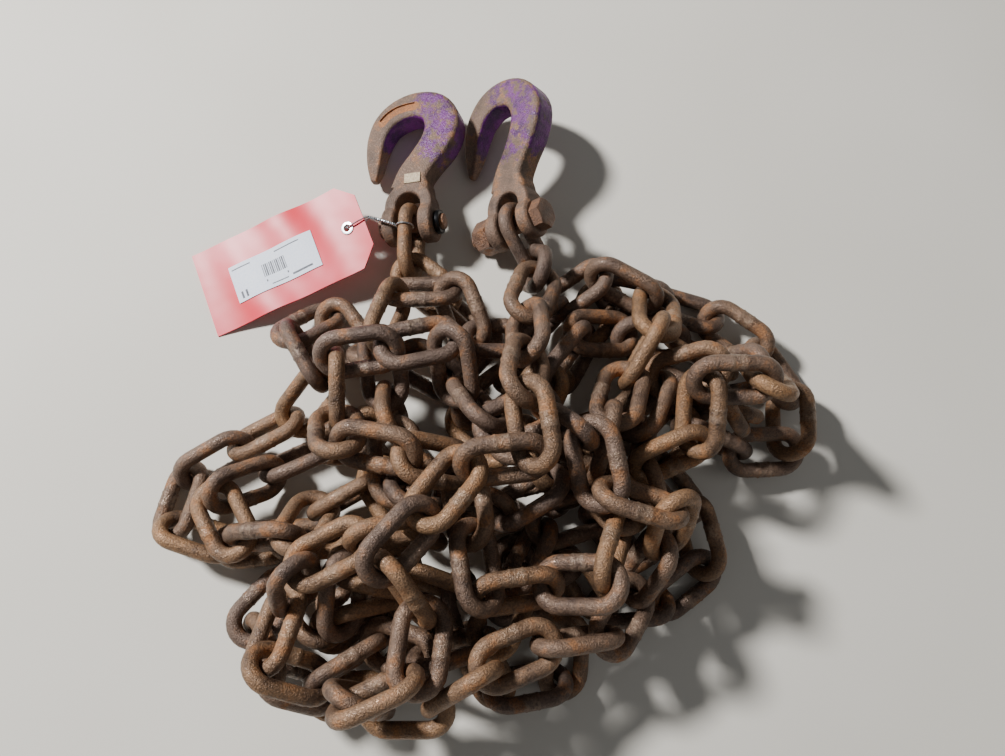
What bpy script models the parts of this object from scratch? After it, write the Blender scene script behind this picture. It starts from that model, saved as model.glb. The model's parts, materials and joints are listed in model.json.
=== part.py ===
"""A heap of welded steel chain with a forged clevis hook at each end and a tag wired to its first link.

The heap is one continuous chain. Its links are laid one by one along a plan route, each in a low
pose that clears the links already laid, so the lengths, widths and wire size below settle where
every link lies. Lengths are in metres and +Z is up.
"""

import math
from collections import namedtuple

import bmesh
import bpy
import numpy as np
from mathutils import Matrix, Vector

MM = 0.001

# Chain links: round wire bent to an oval and welded.
WIRE = 10.0 * MM
LINK_INNER_LENGTH = 38.0 * MM
LINK_INNER_WIDTH = 14.5 * MM

# The solid links have a six-sided section whose corners stand a little outside the round wire.
SECTION_SIDES = 6
SECTION_CORNER = 0.525 * WIRE

# Links of one run bear on each other and are fused there. Separate solids keep a gap.
RUN_LINKS = 4
BEARING_OVERLAP = 0.3 * MM
WIDEST_BEARING = 0.9 * MM
GAP = 0.3 * MM

# Forged clevis hooks: a fork with two round ears, and a bow that tapers to its point.
EAR_GAP = 18.0 * MM
EAR_WIDTH = 9.5 * MM
EAR_RADIUS = 14.0 * MM
EAR_BOSS = 0.4 * MM
EAR_EASE = 1.5 * MM
EAR_SIDES = 20
FORK_REACH = 12.5 * MM
FORK_HALF_THICKNESS = 9.5 * MM
PIN_HOLE_CLEARANCE = 0.3 * MM

# Each bow's centre line in its hook's plane, from the point round to the shank, as
# (across, along, half width, half thickness) in millimetres from the middle of the pin.
LEFT_BOW_MM = [
    (-31.0, 38.5, 2.4, 3.0),
    (-30.5, 48.0, 5.0, 5.5),
    (-30.0, 59.0, 6.6, 7.0),
    (-28.0, 71.0, 7.8, 8.2),
    (-22.5, 83.0, 8.8, 9.0),
    (-12.0, 91.0, 9.8, 9.5),
    (2.0, 94.0, 10.6, 10.0),
    (16.5, 89.5, 12.2, 10.0),
    (23.5, 76.5, 13.6, 10.0),
    (19.5, 61.5, 12.6, 10.0),
    (9.5, 48.0, 11.4, 9.6),
    (2.0, 37.0, 12.2, 9.5),
    (0.0, 26.0, 15.5, 9.0),
]
RIGHT_BOW_MM = [
    (-36.5, 51.5, 1.8, 2.6),
    (-34.0, 61.0, 4.4, 5.2),
    (-31.5, 71.0, 6.2, 7.0),
    (-28.0, 82.0, 7.4, 8.2),
    (-22.0, 93.0, 8.6, 9.0),
    (-11.0, 101.0, 9.6, 9.5),
    (3.0, 102.0, 10.4, 10.0),
    (16.0, 95.5, 11.6, 10.0),
    (22.5, 82.0, 13.0, 10.0),
    (19.0, 66.0, 12.4, 10.0),
    (9.5, 50.0, 11.2, 9.6),
    (2.0, 37.0, 12.2, 9.5),
    (0.0, 26.0, 15.5, 9.0),
]
BOW_STEPS = 2
BOW_CHAMFER = 0.75
FORK_STEPS = 8

# Left hook: a round clevis pin with a head, and a keeper on its far end.
PIN_DIAMETER = 11.1 * MM
PIN_HEAD_DIAMETER = 16.0 * MM
PIN_HEAD_LENGTH = 4.0 * MM
PIN_END_LENGTH = 6.5 * MM
PIN_SIDES = 16
KEEPER_DIAMETER = 17.0 * MM
KEEPER_LENGTH = 4.0 * MM
LEFT_PIN_MM = (-65.4, 108.8)
LEFT_HOOK_HEADING = math.radians(90.0)
LEFT_HOOK_ROLL = math.radians(16.0)

# Right hook: a hexagon bolt with a heavy nut.
BOLT_DIAMETER = 12.7 * MM
BOLT_HEAD_ACROSS_FLATS = 19.0 * MM
BOLT_HEAD_LENGTH = 8.0 * MM
BOLT_STUB_LENGTH = 6.0 * MM
NUT_ACROSS_FLATS = 22.2 * MM
NUT_LENGTH = 12.3 * MM
RIGHT_PIN_MM = (17.2, 98.9)
RIGHT_HOOK_HEADING = math.radians(84.0)
RIGHT_HOOK_ROLL = math.radians(28.0)

# Tag of coated card, its paper label, its eyelet and its twisted wire.
TAG_LENGTH = 131.0 * MM
TAG_WIDTH = 66.7 * MM
TAG_THICKNESS = 0.8 * MM
TAG_CORNER_CUT = 13.0 * MM
TAG_HEADING = math.radians(22.0)
TAG_RISE = 27.0 * MM
TAG_WAVE = 2.5 * MM
TAG_STEPS = 12
TAG_FINE = 240
LABEL_LENGTH = 67.0 * MM
LABEL_WIDTH = 29.0 * MM
LABEL_THICKNESS = 0.3 * MM
LABEL_START = 23.5 * MM
LABEL_OFF_CENTRE = -3.0 * MM
EYELET_DIAMETER = 9.6 * MM
EYELET_BORE = 5.0 * MM
EYELET_WALL = 0.5 * MM
EYELET_LIP = 0.6 * MM
EYELET_FROM_END = 14.0 * MM
EYELET_FROM_PIN_MM = (-45.2, -4.3)
EYELET_SIDES = 16
TIE_WIRE = 1.2 * MM
TIE_TWIST = 2.0 * MM
TIE_SIDES = 6
TIE_PLACE = 6.5 * MM
TIE_EXIT = math.radians(35.0)
TIE_HUMP = 2.0 * MM

# Where the chain runs in plan, from the left hook to the right one, in millimetres.
ROUTE_MM = [
    (-65, 120), (-66, 87), (-78, 62), (-64, 52), (-36, 56), (-20, 37), (-40, 19), (-74, 14),
    (-100, 24), (-116, 40), (-124, 20), (-112, 2), (-86, -6), (-107, -9), (-138, -11), (-130, -32),
    (-151, -40), (-178, -47), (-200, -62), (-218, -79), (-228, -97), (-204, -118), (-171, -121),
    (-139, -113), (-110, -103), (-86, -113), (-91, -135), (-124, -140), (-152, -150), (-158, -168),
    (-143, -188), (-116, -200), (-85, -206), (-60, -200), (-55, -182), (-84, -176), (-111, -173),
    (-111, -156), (-84, -154), (-53, -157), (-27, -172), (-8, -190), (-10, -205), (12, -214),
    (32, -200), (37, -175), (14, -154), (-8, -138), (11, -120), (41, -123), (56, -148), (62, -175),
    (87, -175), (98, -148), (109, -126), (138, -133), (140, -107), (118, -84), (102, -64),
    (126, -57), (152, -73), (183, -66), (204, -44), (193, -14), (176, 16), (150, 44), (118, 47),
    (97, 55), (77, 77), (50, 67), (55, 38), (43, 9), (12, -9), (-19, -5), (-46, -19), (-36, -47),
    (-2, -54), (32, -47), (66, -40), (97, -23), (128, -19), (127, -52), (97, -81), (64, -75),
    (31, -84), (-2, -94), (-34, -94), (-61, -75), (-79, -48), (-106, -41), (-128, -58), (-153, -69),
    (-176, -88), (-152, -104), (-125, -91), (-100, -82), (-81, -107), (-86, -138), (-114, -150),
    (-134, -171), (-117, -190), (-90, -196), (-66, -178), (-39, -150), (-8, -150), (24, -126),
    (36, -98), (62, -101), (86, -120), (119, -114), (131, -82), (122, -50), (145, -19), (137, 9),
    (107, 23), (73, 30), (54, -1), (34, -32), (14, -65), (-8, -96), (-32, -120), (-63, -132),
    (-64, -102), (-68, -71), (-76, -38), (-85, -7), (-59, 12), (-28, 11), (2, -1), (28, 13),
    (59, 30), (88, 23), (99, -6), (78, -40), (54, -66), (38, -97), (10, -86), (-22, -84),
    (-54, -90), (-84, -96), (-98, -70), (-84, -42), (-52, -30), (-20, -30), (12, -44),
    (40, -58), (66, -84), (62, -112), (44, -126), (23, -150),
    (-7, -155), (-37, -170), (-44, -144), (-34, -109), (-20, -73), (-2, -37), (18, 6), (20, 46),
    (20, 76), (18, 102), (18, 126),
]

# The laying rule. Angles are tried in this order, and scores count distances in wire diameters.
SAMPLE_STEP = 3.6 * MM
SAMPLE_MARGIN = 0.3 * MM
TURNS = np.radians([0, 8, -8, 16, -16, 26, -26, 38, -38, 52, -52, 68, -68, 85, -85])
SLOPES = np.radians(np.arange(-60, 61, 6))
TWISTS = np.radians([0, 10, -10, 20, -20, 30, -30])
STEEPEST_SWING = math.radians(80)
STEEPEST_BEND = math.radians(65)
ROUTE_STEP = 2.0 * MM
ROUTE_SWAY = 3.0 * MM
SWAY_SEED = 22
STRAIGHT_POINTS = 5
LONGEST_STEP = 90.0 * MM
LOOK_AHEAD = 32.0 * MM
CLIMB = 0.8
TALLEST_TIP = 60.0 * MM
LOOK_FURTHER = 1.5 * TALLEST_TIP / CLIMB
TIP_NEED_WEIGHT = 0.05
TOO_TALL_WEIGHT = 0.5
STRAY_WEIGHT = 0.4
TWIST_WEIGHT = 0.4
SLOPE_WEIGHT = 0.5
TURN_WEIGHT = 0.3
KEPT_CHOICES = 10
NEAREST_END = 62.0 * MM
CLOSING_REACH = 1.8 * NEAREST_END
CLOSING_SWERVE = math.radians(14)
CLOSING_ROLL_MISS = math.radians(14)
CLOSING_MISS = 14.0 * MM
CLOSING_SLOPES = np.radians(np.arange(-60, 60, 0.5))
CLOSING_PLAY = 0.6 * MM
STEEPEST_HANG = math.radians(20)
HANG_STEP = math.radians(0.1)
MOST_STEPS_BACK = 500

CROWN_RADIUS = (LINK_INNER_WIDTH + WIRE) / 2
HALF_LENGTH = (LINK_INNER_LENGTH + WIRE) / 2
CLEAR_SPACING = 2 * SECTION_CORNER + GAP
FUSED_SPACING = 2 * SECTION_CORNER * math.cos(math.pi / SECTION_SIDES) - BEARING_OVERLAP

# A link's pose: its middle, its long axis and its crosswise axis, with sample points on its wire.
Link = namedtuple("Link", "middle axis side points")

# A hook's place: the middle of its pin, the pin's direction, the way to the bow, and out of its upper face.
HookFrame = namedtuple("HookFrame", "middle pin along up")


def unit(vectors):
    return vectors / np.linalg.norm(vectors, axis=-1, keepdims=True)


def oval_corners():
    """The eight corners of a link's centre line, as (along, across): an octagon parted by straight sides."""
    reach = CROWN_RADIUS / math.cos(math.pi / 8)
    straight = HALF_LENGTH - CROWN_RADIUS
    corners = []
    for k in range(8):
        turn = math.radians(-67.5 + 45 * k)
        along = reach * math.cos(turn)
        corners.append((along + math.copysign(straight, along), reach * math.sin(turn)))
    return np.array(corners)


def oval_samples():
    corners = oval_corners()
    samples = []
    for start, end in zip(corners, np.roll(corners, -1, axis=0)):
        count = math.ceil(np.linalg.norm(end - start) / SAMPLE_STEP)
        samples += [start + (end - start) * k / count for k in range(count)]
    return np.array(samples)


OVAL_SAMPLES = oval_samples()


def wire_points(middles, axes, sides):
    """Sample points on the wires of many links at once, as (links, samples, 3)."""
    along = OVAL_SAMPLES[None, :, 0:1] * axes[:, None, :]
    across = OVAL_SAMPLES[None, :, 1:2] * sides[:, None, :]
    return middles[:, None, :] + along + across


def link_at(middle, axis, side):
    points = wire_points(middle[None], axis[None], side[None])[0]
    return Link(middle, axis, side, points)


def smooth_route(corners):
    """A smooth curve through the route's points, each swayed a little, read every ROUTE_STEP."""
    sway = np.random.default_rng(SWAY_SEED).uniform(-ROUTE_SWAY, ROUTE_SWAY, (len(corners), 2))
    sway[:STRAIGHT_POINTS] = sway[-STRAIGHT_POINTS:] = 0
    fine = curve_through(np.array(corners) * MM + sway, 24)
    run = np.concatenate([[0], np.cumsum(np.linalg.norm(np.diff(fine, axis=0), axis=1))])
    marks = np.arange(0, run[-1], ROUTE_STEP)
    return np.column_stack([np.interp(marks, run, fine[:, k]) for k in (0, 1)])


def pose_grid():
    turn, slope, twist = np.meshgrid(TURNS, SLOPES, TWISTS, indexing="ij")
    return turn.ravel(), slope.ravel(), twist.ravel()


def section_reach(cosine):
    """How far the six-sided section reaches in a direction at this cosine to its first corner."""
    share = math.pi / SECTION_SIDES
    turn = np.arccos(np.clip(cosine, -1, 1))
    return SECTION_CORNER * np.cos((turn + share) % (2 * share) - share)


def next_poses(link, fused, heading, grid):
    """Poses of a link threaded through the far crown of the given one, and which of them are possible.

    The new link swings about the old crown's wire, bends about its own crown's wire and twists about
    the line between them. Fused crowns overlap a little, and others keep their gap.
    """
    turn, slope, twist = grid
    crown = link.middle + HALF_LENGTH * link.axis
    level = np.cos(slope)
    want = np.column_stack([level * np.cos(heading + turn), level * np.sin(heading + turn), np.sin(slope)])
    pull = unit(want - (want @ link.side)[:, None] * link.side)
    square = np.cross(pull, link.side)
    side = unit(np.cos(twist)[:, None] * square + np.sin(twist)[:, None] * np.cross(pull, square))
    axis = unit(want - np.sum(want * side, axis=1)[:, None] * side)
    swing, bend = pull @ link.axis, np.sum(pull * axis, axis=1)
    possible = (swing > math.cos(STEEPEST_SWING)) & (bend > math.cos(STEEPEST_BEND))
    reach = section_reach(swing) + section_reach(bend)
    if fused:
        spacing = reach[:, None] - BEARING_OVERLAP
    else:
        spacing = CLEAR_SPACING
        possible &= reach > CLEAR_SPACING - WIDEST_BEARING
    middle = crown - spacing * pull + HALF_LENGTH * axis
    return middle, axis, side, possible


def nearest_distances(points, others):
    """For each set of points, the distance to the nearest of the other points."""
    flat = points.reshape(-1, 3)
    squares = (flat ** 2).sum(1)[:, None] + (others ** 2).sum(1)[None] - 2 * flat @ others.T
    nearest = np.sqrt(np.maximum(squares.min(axis=1), 0))
    return nearest.reshape(points.shape[:2]).min(axis=1)


def clear_poses(points, fused, links):
    """Which sets of wire points clear the floor, the link before and every earlier link."""
    index = np.flatnonzero(points[:, :, 2].min(axis=1) >= SECTION_CORNER)
    if len(index):
        reach = CLEAR_SPACING + SAMPLE_MARGIN
        low, high = points[index].min(axis=(0, 1)) - reach, points[index].max(axis=(0, 1)) + reach
        beside = [
            link.points for link in links[:-1]
            if (link.points.max(axis=0) >= low).all() and (link.points.min(axis=0) <= high).all()
        ]
        least = (FUSED_SPACING if fused else CLEAR_SPACING) - SAMPLE_MARGIN / 3
        rules = [(links[-1].points, least)] + ([(np.vstack(beside), reach)] if beside else [])
        for stride in (6, 1):
            for others, distance in rules:
                index = index[nearest_distances(points[index, ::stride], others) >= distance]
    good = np.zeros(len(points), bool)
    good[index] = True
    return good


def height_needed(route, at, links):
    """How high the chain's tip has to be by now to climb over what lies ahead on its route."""
    ahead = np.arange(0, LOOK_FURTHER, 2 * ROUTE_STEP)
    marks = at + ((LOOK_AHEAD + ahead) / ROUTE_STEP).astype(int)
    places = route[np.minimum(marks, len(route) - 1)]
    laid = np.vstack([link.points for link in links])
    distances = ((places[:, None, :] - laid[None, :, :2]) ** 2).sum(axis=2)
    under = np.where(distances < (1.2 * WIRE / 2) ** 2, laid[None, :, 2] + WIRE / 2, 0).max(axis=1)
    return np.where(under > 0, under + WIRE - CLIMB * ahead, 0).max()


def choices(route, at, links, grid):
    """The best few clear poses of the next link, best first."""
    link = links[-1]
    fused = len(links) % RUN_LINKS > 0
    tip = link.middle + HALF_LENGTH * link.axis
    aim = route[min(at + round(LOOK_AHEAD / ROUTE_STEP), len(route) - 1)]
    heading = math.atan2(aim[1] - tip[1], aim[0] - tip[0])
    middle, axis, side, possible = next_poses(link, fused, heading, grid)
    tips = middle + HALF_LENGTH * axis
    upright = np.abs(np.cross(axis, side)[:, 2])
    possible &= tips[:, 2] >= CROWN_RADIUS * np.maximum(0, upright - 0.12) + SECTION_CORNER
    need = min(height_needed(route, at, links), TALLEST_TIP)
    window = route[at:at + round(2.5 * LOOK_AHEAD / ROUTE_STEP)]
    stray = np.sqrt(((tips[:, None, :2] - window[None]) ** 2).sum(axis=2)).min(axis=1)
    turn, slope, twist = grid
    score = (middle[:, 2] + tips[:, 2]) / WIRE + STRAY_WEIGHT * (stray / WIRE) ** 2
    score += TIP_NEED_WEIGHT * (np.maximum(0, need - tips[:, 2]) / WIRE) ** 2
    score += TOO_TALL_WEIGHT * (np.maximum(0, tips[:, 2] - TALLEST_TIP) / WIRE) ** 2
    score += TWIST_WEIGHT * twist ** 2 + SLOPE_WEIGHT * slope ** 2 + TURN_WEIGHT * turn ** 2
    order = np.argsort(np.round(score, 4), kind="stable")
    order = order[possible[order]]
    found = []
    for k in range(0, len(order), 60):
        batch = order[k:k + 60]
        points = wire_points(middle[batch], axis[batch], side[batch])
        for j, good in enumerate(clear_poses(points, fused, links)):
            if good:
                found.append(Link(middle[batch[j]], axis[batch[j]], side[batch[j]], points[j]))
        if len(found) >= KEPT_CHOICES:
            break
    return found[:KEPT_CHOICES]


def curve_through(points, steps):
    """A Catmull-Rom curve through points of any width, with so many steps between each two."""
    ends = np.vstack([2 * points[0] - points[1], points, 2 * points[-1] - points[-2]])
    fine = []
    for a, b, c, d in zip(ends, ends[1:], ends[2:], ends[3:]):
        for t in np.linspace(0, 1, steps, endpoint=False):
            bend = (2 * a - 5 * b + 4 * c - d) * t * t + (3 * b - a - 3 * c + d) * t ** 3
            fine.append(0.5 * (2 * b + (c - a) * t + bend))
    return np.array(fine + [points[-1]])


def section_corners(half_widths, half_thicknesses):
    """Eight-cornered sections as (corners, [across, up])."""
    wide, high = half_widths * BOW_CHAMFER, half_thicknesses * BOW_CHAMFER
    across = [half_widths, half_widths, wide, -wide, -half_widths, -half_widths, -wide, wide]
    up = [-high, high, half_thicknesses, half_thicknesses, high, -high, -half_thicknesses, -half_thicknesses]
    return np.array([across, up]).T


def bow_sections(stations_mm):
    """Sections along the bow as (sections, corners, [across, along, up]) from the middle of the pin."""
    stations = curve_through(np.array(stations_mm) * MM, BOW_STEPS)
    forward = unit(np.gradient(stations[:, :2], axis=0))
    sections = []
    for (x, y, half_width, half_thickness), (ahead_x, ahead_y) in zip(stations, forward):
        across, up = section_corners(half_width, half_thickness).T
        sections.append(np.column_stack([x + across * ahead_y, y - across * ahead_x, up]))
    return np.array(sections)


def ear_outline():
    """The corners of a hook's ears seen along its long axis, as (across, up)."""
    ear = EAR_GAP / 2 + EAR_WIDTH + EAR_BOSS
    return [(-ear, -EAR_RADIUS), (ear, -EAR_RADIUS)]


def left_hook_outline():
    head = EAR_GAP / 2 + EAR_WIDTH + EAR_BOSS + GAP + PIN_HEAD_LENGTH
    keeper = EAR_GAP / 2 + EAR_WIDTH + EAR_BOSS + GAP + KEEPER_LENGTH
    corners = [(-head, -PIN_HEAD_DIAMETER / 2), (keeper, -KEEPER_DIAMETER / 2)]
    return np.array(ear_outline() + corners)


def right_hook_outline():
    seat = EAR_GAP / 2 + EAR_WIDTH + EAR_BOSS + GAP
    stub = seat + NUT_LENGTH + BOLT_STUB_LENGTH
    corners = [
        (-seat - NUT_LENGTH, -NUT_ACROSS_FLATS / math.sqrt(3)),
        (seat + BOLT_HEAD_LENGTH, -BOLT_HEAD_ACROSS_FLATS / math.sqrt(3)),
        (-stub, -BOLT_DIAMETER / 2),
    ]
    return np.array(ear_outline() + corners)


def resting_height(rolls, outline):
    """The height of a hook's pin when its ears or fasteners lie on the floor, at each roll."""
    across, up = outline.T
    return -(np.outer(np.sin(rolls), across) + np.outer(np.cos(rolls), up)).min(axis=1)


def hook_frame(middle, pin, bow_mm):
    """A hook's frame from its pin: the hook swings down round the pin until its bow meets the floor."""
    level = unit(np.cross(np.array([0.0, 0.0, 1.0]), pin))
    swings = np.arange(0, STEEPEST_HANG, HANG_STEP)[:, None]
    along = np.cos(swings) * level - np.sin(swings) * np.cross(pin, level)
    up = np.cross(pin, along)
    heights = np.array([pin[2] + 0 * along[:, 2], along[:, 2], up[:, 2]])
    lowest = middle[2] + (bow_sections(bow_mm).reshape(-1, 3) @ heights).min(axis=0)
    k = np.flatnonzero(lowest >= 0)[-1]
    return HookFrame(middle, pin, along[k], up[k])


def left_hook_frame():
    along = np.array([math.cos(LEFT_HOOK_HEADING), math.sin(LEFT_HOOK_HEADING), 0.0])
    level = np.array([along[1], -along[0], 0.0])
    pin = level * math.cos(LEFT_HOOK_ROLL) + np.array([0.0, 0.0, math.sin(LEFT_HOOK_ROLL)])
    height = resting_height(np.array([LEFT_HOOK_ROLL]), left_hook_outline())[0]
    return hook_frame(np.array([LEFT_PIN_MM[0] * MM, LEFT_PIN_MM[1] * MM, height]), pin, LEFT_BOW_MM)


def right_hook_frame(link):
    pin = np.cross(link.axis, link.side)
    pin = pin * math.copysign(1, pin[0])
    return hook_frame(link.middle + bearing_offset(BOLT_DIAMETER / 2) * link.axis, pin, RIGHT_BOW_MM)


def bearing_offset(radius):
    """How far a pin's middle lies from the middle of the link that hangs on it."""
    return HALF_LENGTH - radius - SECTION_CORNER - GAP


def first_link(frame):
    """The link that hangs on the left hook's pin, level and square to it."""
    axis = unit(np.cross(frame.pin, np.array([0.0, 0.0, 1.0])))
    middle = frame.middle + bearing_offset(PIN_DIAMETER / 2) * axis
    return link_at(middle, axis, np.cross(frame.pin, axis))


def closing_choices(route, links):
    """Poses of the last link that let the right hook lie on the floor, best first."""
    link = links[-1]
    fused = len(links) % RUN_LINKS > 0
    tip = link.middle + HALF_LENGTH * link.axis
    heading = math.atan2(route[-1][1] - tip[1], route[-1][0] - tip[0])
    turn, slope, twist = (part.ravel() for part in np.meshgrid(TURNS, CLOSING_SLOPES, TWISTS))
    middle, axis, side, possible = next_poses(link, fused, heading, (turn, slope, twist))
    pin_axis = np.cross(axis, side)
    pin_axis *= np.sign(pin_axis[:, 0:1])
    roll = np.arcsin(pin_axis[:, 2])
    bolt_height = middle[:, 2] + bearing_offset(BOLT_DIAMETER / 2) * axis[:, 2]
    rise = bolt_height - resting_height(roll, right_hook_outline())
    swerve = np.arctan2(pin_axis[:, 0], -pin_axis[:, 1]) - RIGHT_HOOK_HEADING
    bolt = middle[:, :2] + bearing_offset(BOLT_DIAMETER / 2) * axis[:, :2]
    miss = np.linalg.norm(bolt - np.array(RIGHT_PIN_MM) * MM, axis=1)
    possible &= (rise >= 0) & (rise < CLOSING_PLAY)
    possible &= np.abs(roll - RIGHT_HOOK_ROLL) < CLOSING_ROLL_MISS
    possible &= (np.abs(swerve) < CLOSING_SWERVE) & (miss < CLOSING_MISS)
    score = 3 * (roll - RIGHT_HOOK_ROLL) ** 2 + 10 * swerve ** 2
    order = np.argsort(np.round(score, 6), kind="stable")
    order = order[possible[order]][:200]
    if not len(order):
        return []
    points = wire_points(middle[order], axis[order], side[order])
    good = clear_poses(points, fused, links)
    return [Link(middle[j], axis[j], side[j], points[k]) for k, j in enumerate(order) if good[k]]


def route_mark(route, link, at):
    """The place on the route nearest to a link's far end, not before the last such place."""
    tip = (link.middle + HALF_LENGTH * link.axis)[:2]
    window = route[at:at + round(LONGEST_STEP / ROUTE_STEP)]
    return at + int(np.argmin(((window - tip) ** 2).sum(axis=1)))


def lay_chain(route, first):
    """Lays links along the route from the first one, stepping back where the chain can't go on."""
    grid = pose_grid()
    links, marks, open_choices = [first], [route_mark(route, first, 0)], []
    longest, stuck, jump = 1, 0, 1
    steps_back = 0
    while steps_back < MOST_STEPS_BACK:
        if len(open_choices) < len(links):
            left = (len(route) - marks[-1]) * ROUTE_STEP
            closing = closing_choices(route, links) if left < CLOSING_REACH else []
            if closing:
                return links + closing[:1]
            open_choices.append(choices(route, marks[-1], links, grid) if left > NEAREST_END else [])
        if open_choices[-1]:
            links.append(open_choices[-1].pop(0))
            marks.append(route_mark(route, links[-1], marks[-1]))
            if len(links) > longest:
                longest, stuck, jump = len(links), 0, 1
            continue
        if len(links) == 1:
            break
        steps_back += 1
        stuck += 1
        depth = 1
        if stuck > 12:
            stuck, jump = 0, jump + 2
            depth = min(jump, len(links) - 1)
        del open_choices[-depth:], links[-depth:], marks[-depth:]
    return links


def clear_scene():
    for item in list(bpy.data.objects):
        bpy.data.objects.remove(item, do_unlink=True)


def material(name, colour, roughness, metallic):
    made = bpy.data.materials.new(name)
    made.use_nodes = True
    shader = made.node_tree.nodes["Principled BSDF"]
    shader.inputs["Base Color"].default_value = (*colour, 1)
    shader.inputs["Roughness"].default_value = roughness
    shader.inputs["Metallic"].default_value = metallic
    return made


def add_object(name, form, finish, helper=False):
    """An object from a bmesh, with its faces turned outwards and its round faces shaded smooth."""
    bmesh.ops.recalc_face_normals(form, faces=form.faces)
    mesh = bpy.data.meshes.new(name)
    form.to_mesh(mesh)
    form.free()
    mesh.shade_smooth()
    mesh.set_sharp_from_angle(angle=math.radians(50))
    mesh.materials.append(finish)
    item = bpy.data.objects.new(name, mesh)
    bpy.context.collection.objects.link(item)
    if helper:
        item.hide_render = True
        item.display_type = "WIRE"
    return item


def loft(form, rings, closed=False):
    """Skins rings of points, each joined to the next, with flat ends unless the rings close on themselves."""
    loops = [[form.verts.new(point) for point in ring] for ring in rings]
    pairs = list(zip(loops, loops[1:]))
    if closed:
        pairs.append((loops[-1], loops[0]))
    for first, second in pairs:
        for k, corner in enumerate(first):
            after = (k + 1) % len(first)
            form.faces.new((corner, first[after], second[after], second[k]))
    if not closed:
        form.faces.new(loops[0])
        form.faces.new(loops[-1])
    return form


def circle(middle, across, up, radius, sides, start=0.0):
    turns = [start + 2 * math.pi * k / sides for k in range(sides)]
    return [middle + across * (radius * math.cos(t)) + up * (radius * math.sin(t)) for t in turns]


def turned(frame, profile, sides, start=0.0):
    """A solid turned about the frame's X axis, through (place along X, radius) pairs."""
    across = frame.to_3x3() @ Vector((0, 1, 0))
    up = frame.to_3x3() @ Vector((0, 0, 1))
    rings = [circle(frame @ Vector((x, 0, 0)), across, up, r, sides, start) for x, r in profile]
    return loft(bmesh.new(), rings)


def tube(points, radius, sides, closed):
    """A round wire along points, its rings set across the path without twisting."""
    points = [Vector(point) for point in points]
    count = len(points)
    rings = []
    up = None
    for k, point in enumerate(points):
        before = points[k - 1] if closed or k else point
        after = points[(k + 1) % count] if closed or k < count - 1 else point
        forward = (after - before).normalized()
        if up is None:
            up = forward.orthogonal().normalized()
        up = (up - forward * up.dot(forward)).normalized()
        rings.append(circle(point, up, forward.cross(up), radius, sides))
    return loft(bmesh.new(), rings, closed)


def boolean(item, other, operation):
    change = item.modifiers.new(other.name, "BOOLEAN")
    change.operation = operation
    change.object = other
    change.solver = "EXACT"


def apply_booleans(item):
    """Applies an object's Booleans and fills any pocket that the joined pieces seal between them."""
    if not item.modifiers:
        return
    graph = bpy.context.evaluated_depsgraph_get()
    form = bmesh.new()
    form.from_mesh(item.evaluated_get(graph).to_mesh())
    helpers = [change.object for change in item.modifiers]
    item.modifiers.clear()
    for helper in helpers:
        bpy.data.objects.remove(helper, do_unlink=True)
    outer = max(shells(form), key=shell_span)
    inner = [face for face in form.faces if face not in outer]
    bmesh.ops.delete(form, geom=inner, context="FACES")
    form.to_mesh(item.data)
    form.free()


def shells(form):
    """The sets of faces that hang together."""
    left = set(form.faces)
    found = []
    while left:
        shell, edge_of_shell = set(), [left.pop()]
        while edge_of_shell:
            face = edge_of_shell.pop()
            shell.add(face)
            for edge in face.edges:
                for other in edge.link_faces:
                    if other in left:
                        left.discard(other)
                        edge_of_shell.append(other)
        found.append(shell)
    return found


def shell_span(shell):
    corners = [corner.co for face in shell for corner in face.verts]
    return sum(max(c[k] for c in corners) - min(c[k] for c in corners) for k in range(3))


def link_form(link):
    """One link: eight mitred rings of a six-sided section."""
    normal = np.cross(link.axis, link.side)
    rings = []
    for along, across in oval_corners():
        middle = link.middle + along * link.axis + across * link.side
        straight = math.copysign(HALF_LENGTH - CROWN_RADIUS, along)
        outward = unit((along - straight) * link.axis + across * link.side)
        ring = []
        for k in range(SECTION_SIDES):
            turn = 2 * math.pi * k / SECTION_SIDES
            out = SECTION_CORNER * math.cos(turn) / math.cos(math.pi / 8)
            ring.append(middle + out * outward + SECTION_CORNER * math.sin(turn) * normal)
        rings.append(ring)
    return loft(bmesh.new(), rings, closed=True)


def add_chain(links, steel):
    """The chain in runs: the links of a run are fused where they bear on each other."""
    for start in range(0, len(links), RUN_LINKS):
        name = f"chain_run_{start // RUN_LINKS + 1:02d}"
        run = add_object(name, link_form(links[start]), steel)
        for k, link in enumerate(links[start + 1:start + RUN_LINKS]):
            boolean(run, add_object(f"{name}_link_{k + 2}", link_form(link), steel, helper=True), "UNION")


def fork_rings(frame):
    """Sections round the fork, from one ear over the crown to the other."""
    middle = (EAR_GAP + EAR_WIDTH) / 2
    places = [(-middle, 0.0, 1.0, 0.0), (-middle, FORK_REACH, 1.0, 0.0)]
    for k in range(1, FORK_STEPS):
        turn = math.pi * (1 - k / FORK_STEPS)
        x, y = math.cos(turn), math.sin(turn)
        places.append((middle * x, FORK_REACH + middle * y, -x, -y))
    places += [(middle, FORK_REACH, -1.0, 0.0), (middle, 0.0, -1.0, 0.0)]
    rings = []
    for x, y, inward_x, inward_y in places:
        corners = section_corners(EAR_WIDTH / 2, FORK_HALF_THICKNESS)
        ring = [Vector((x + a * inward_x, y + a * inward_y, up)) for a, up in corners]
        rings.append([frame @ point for point in ring])
    return rings


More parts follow.
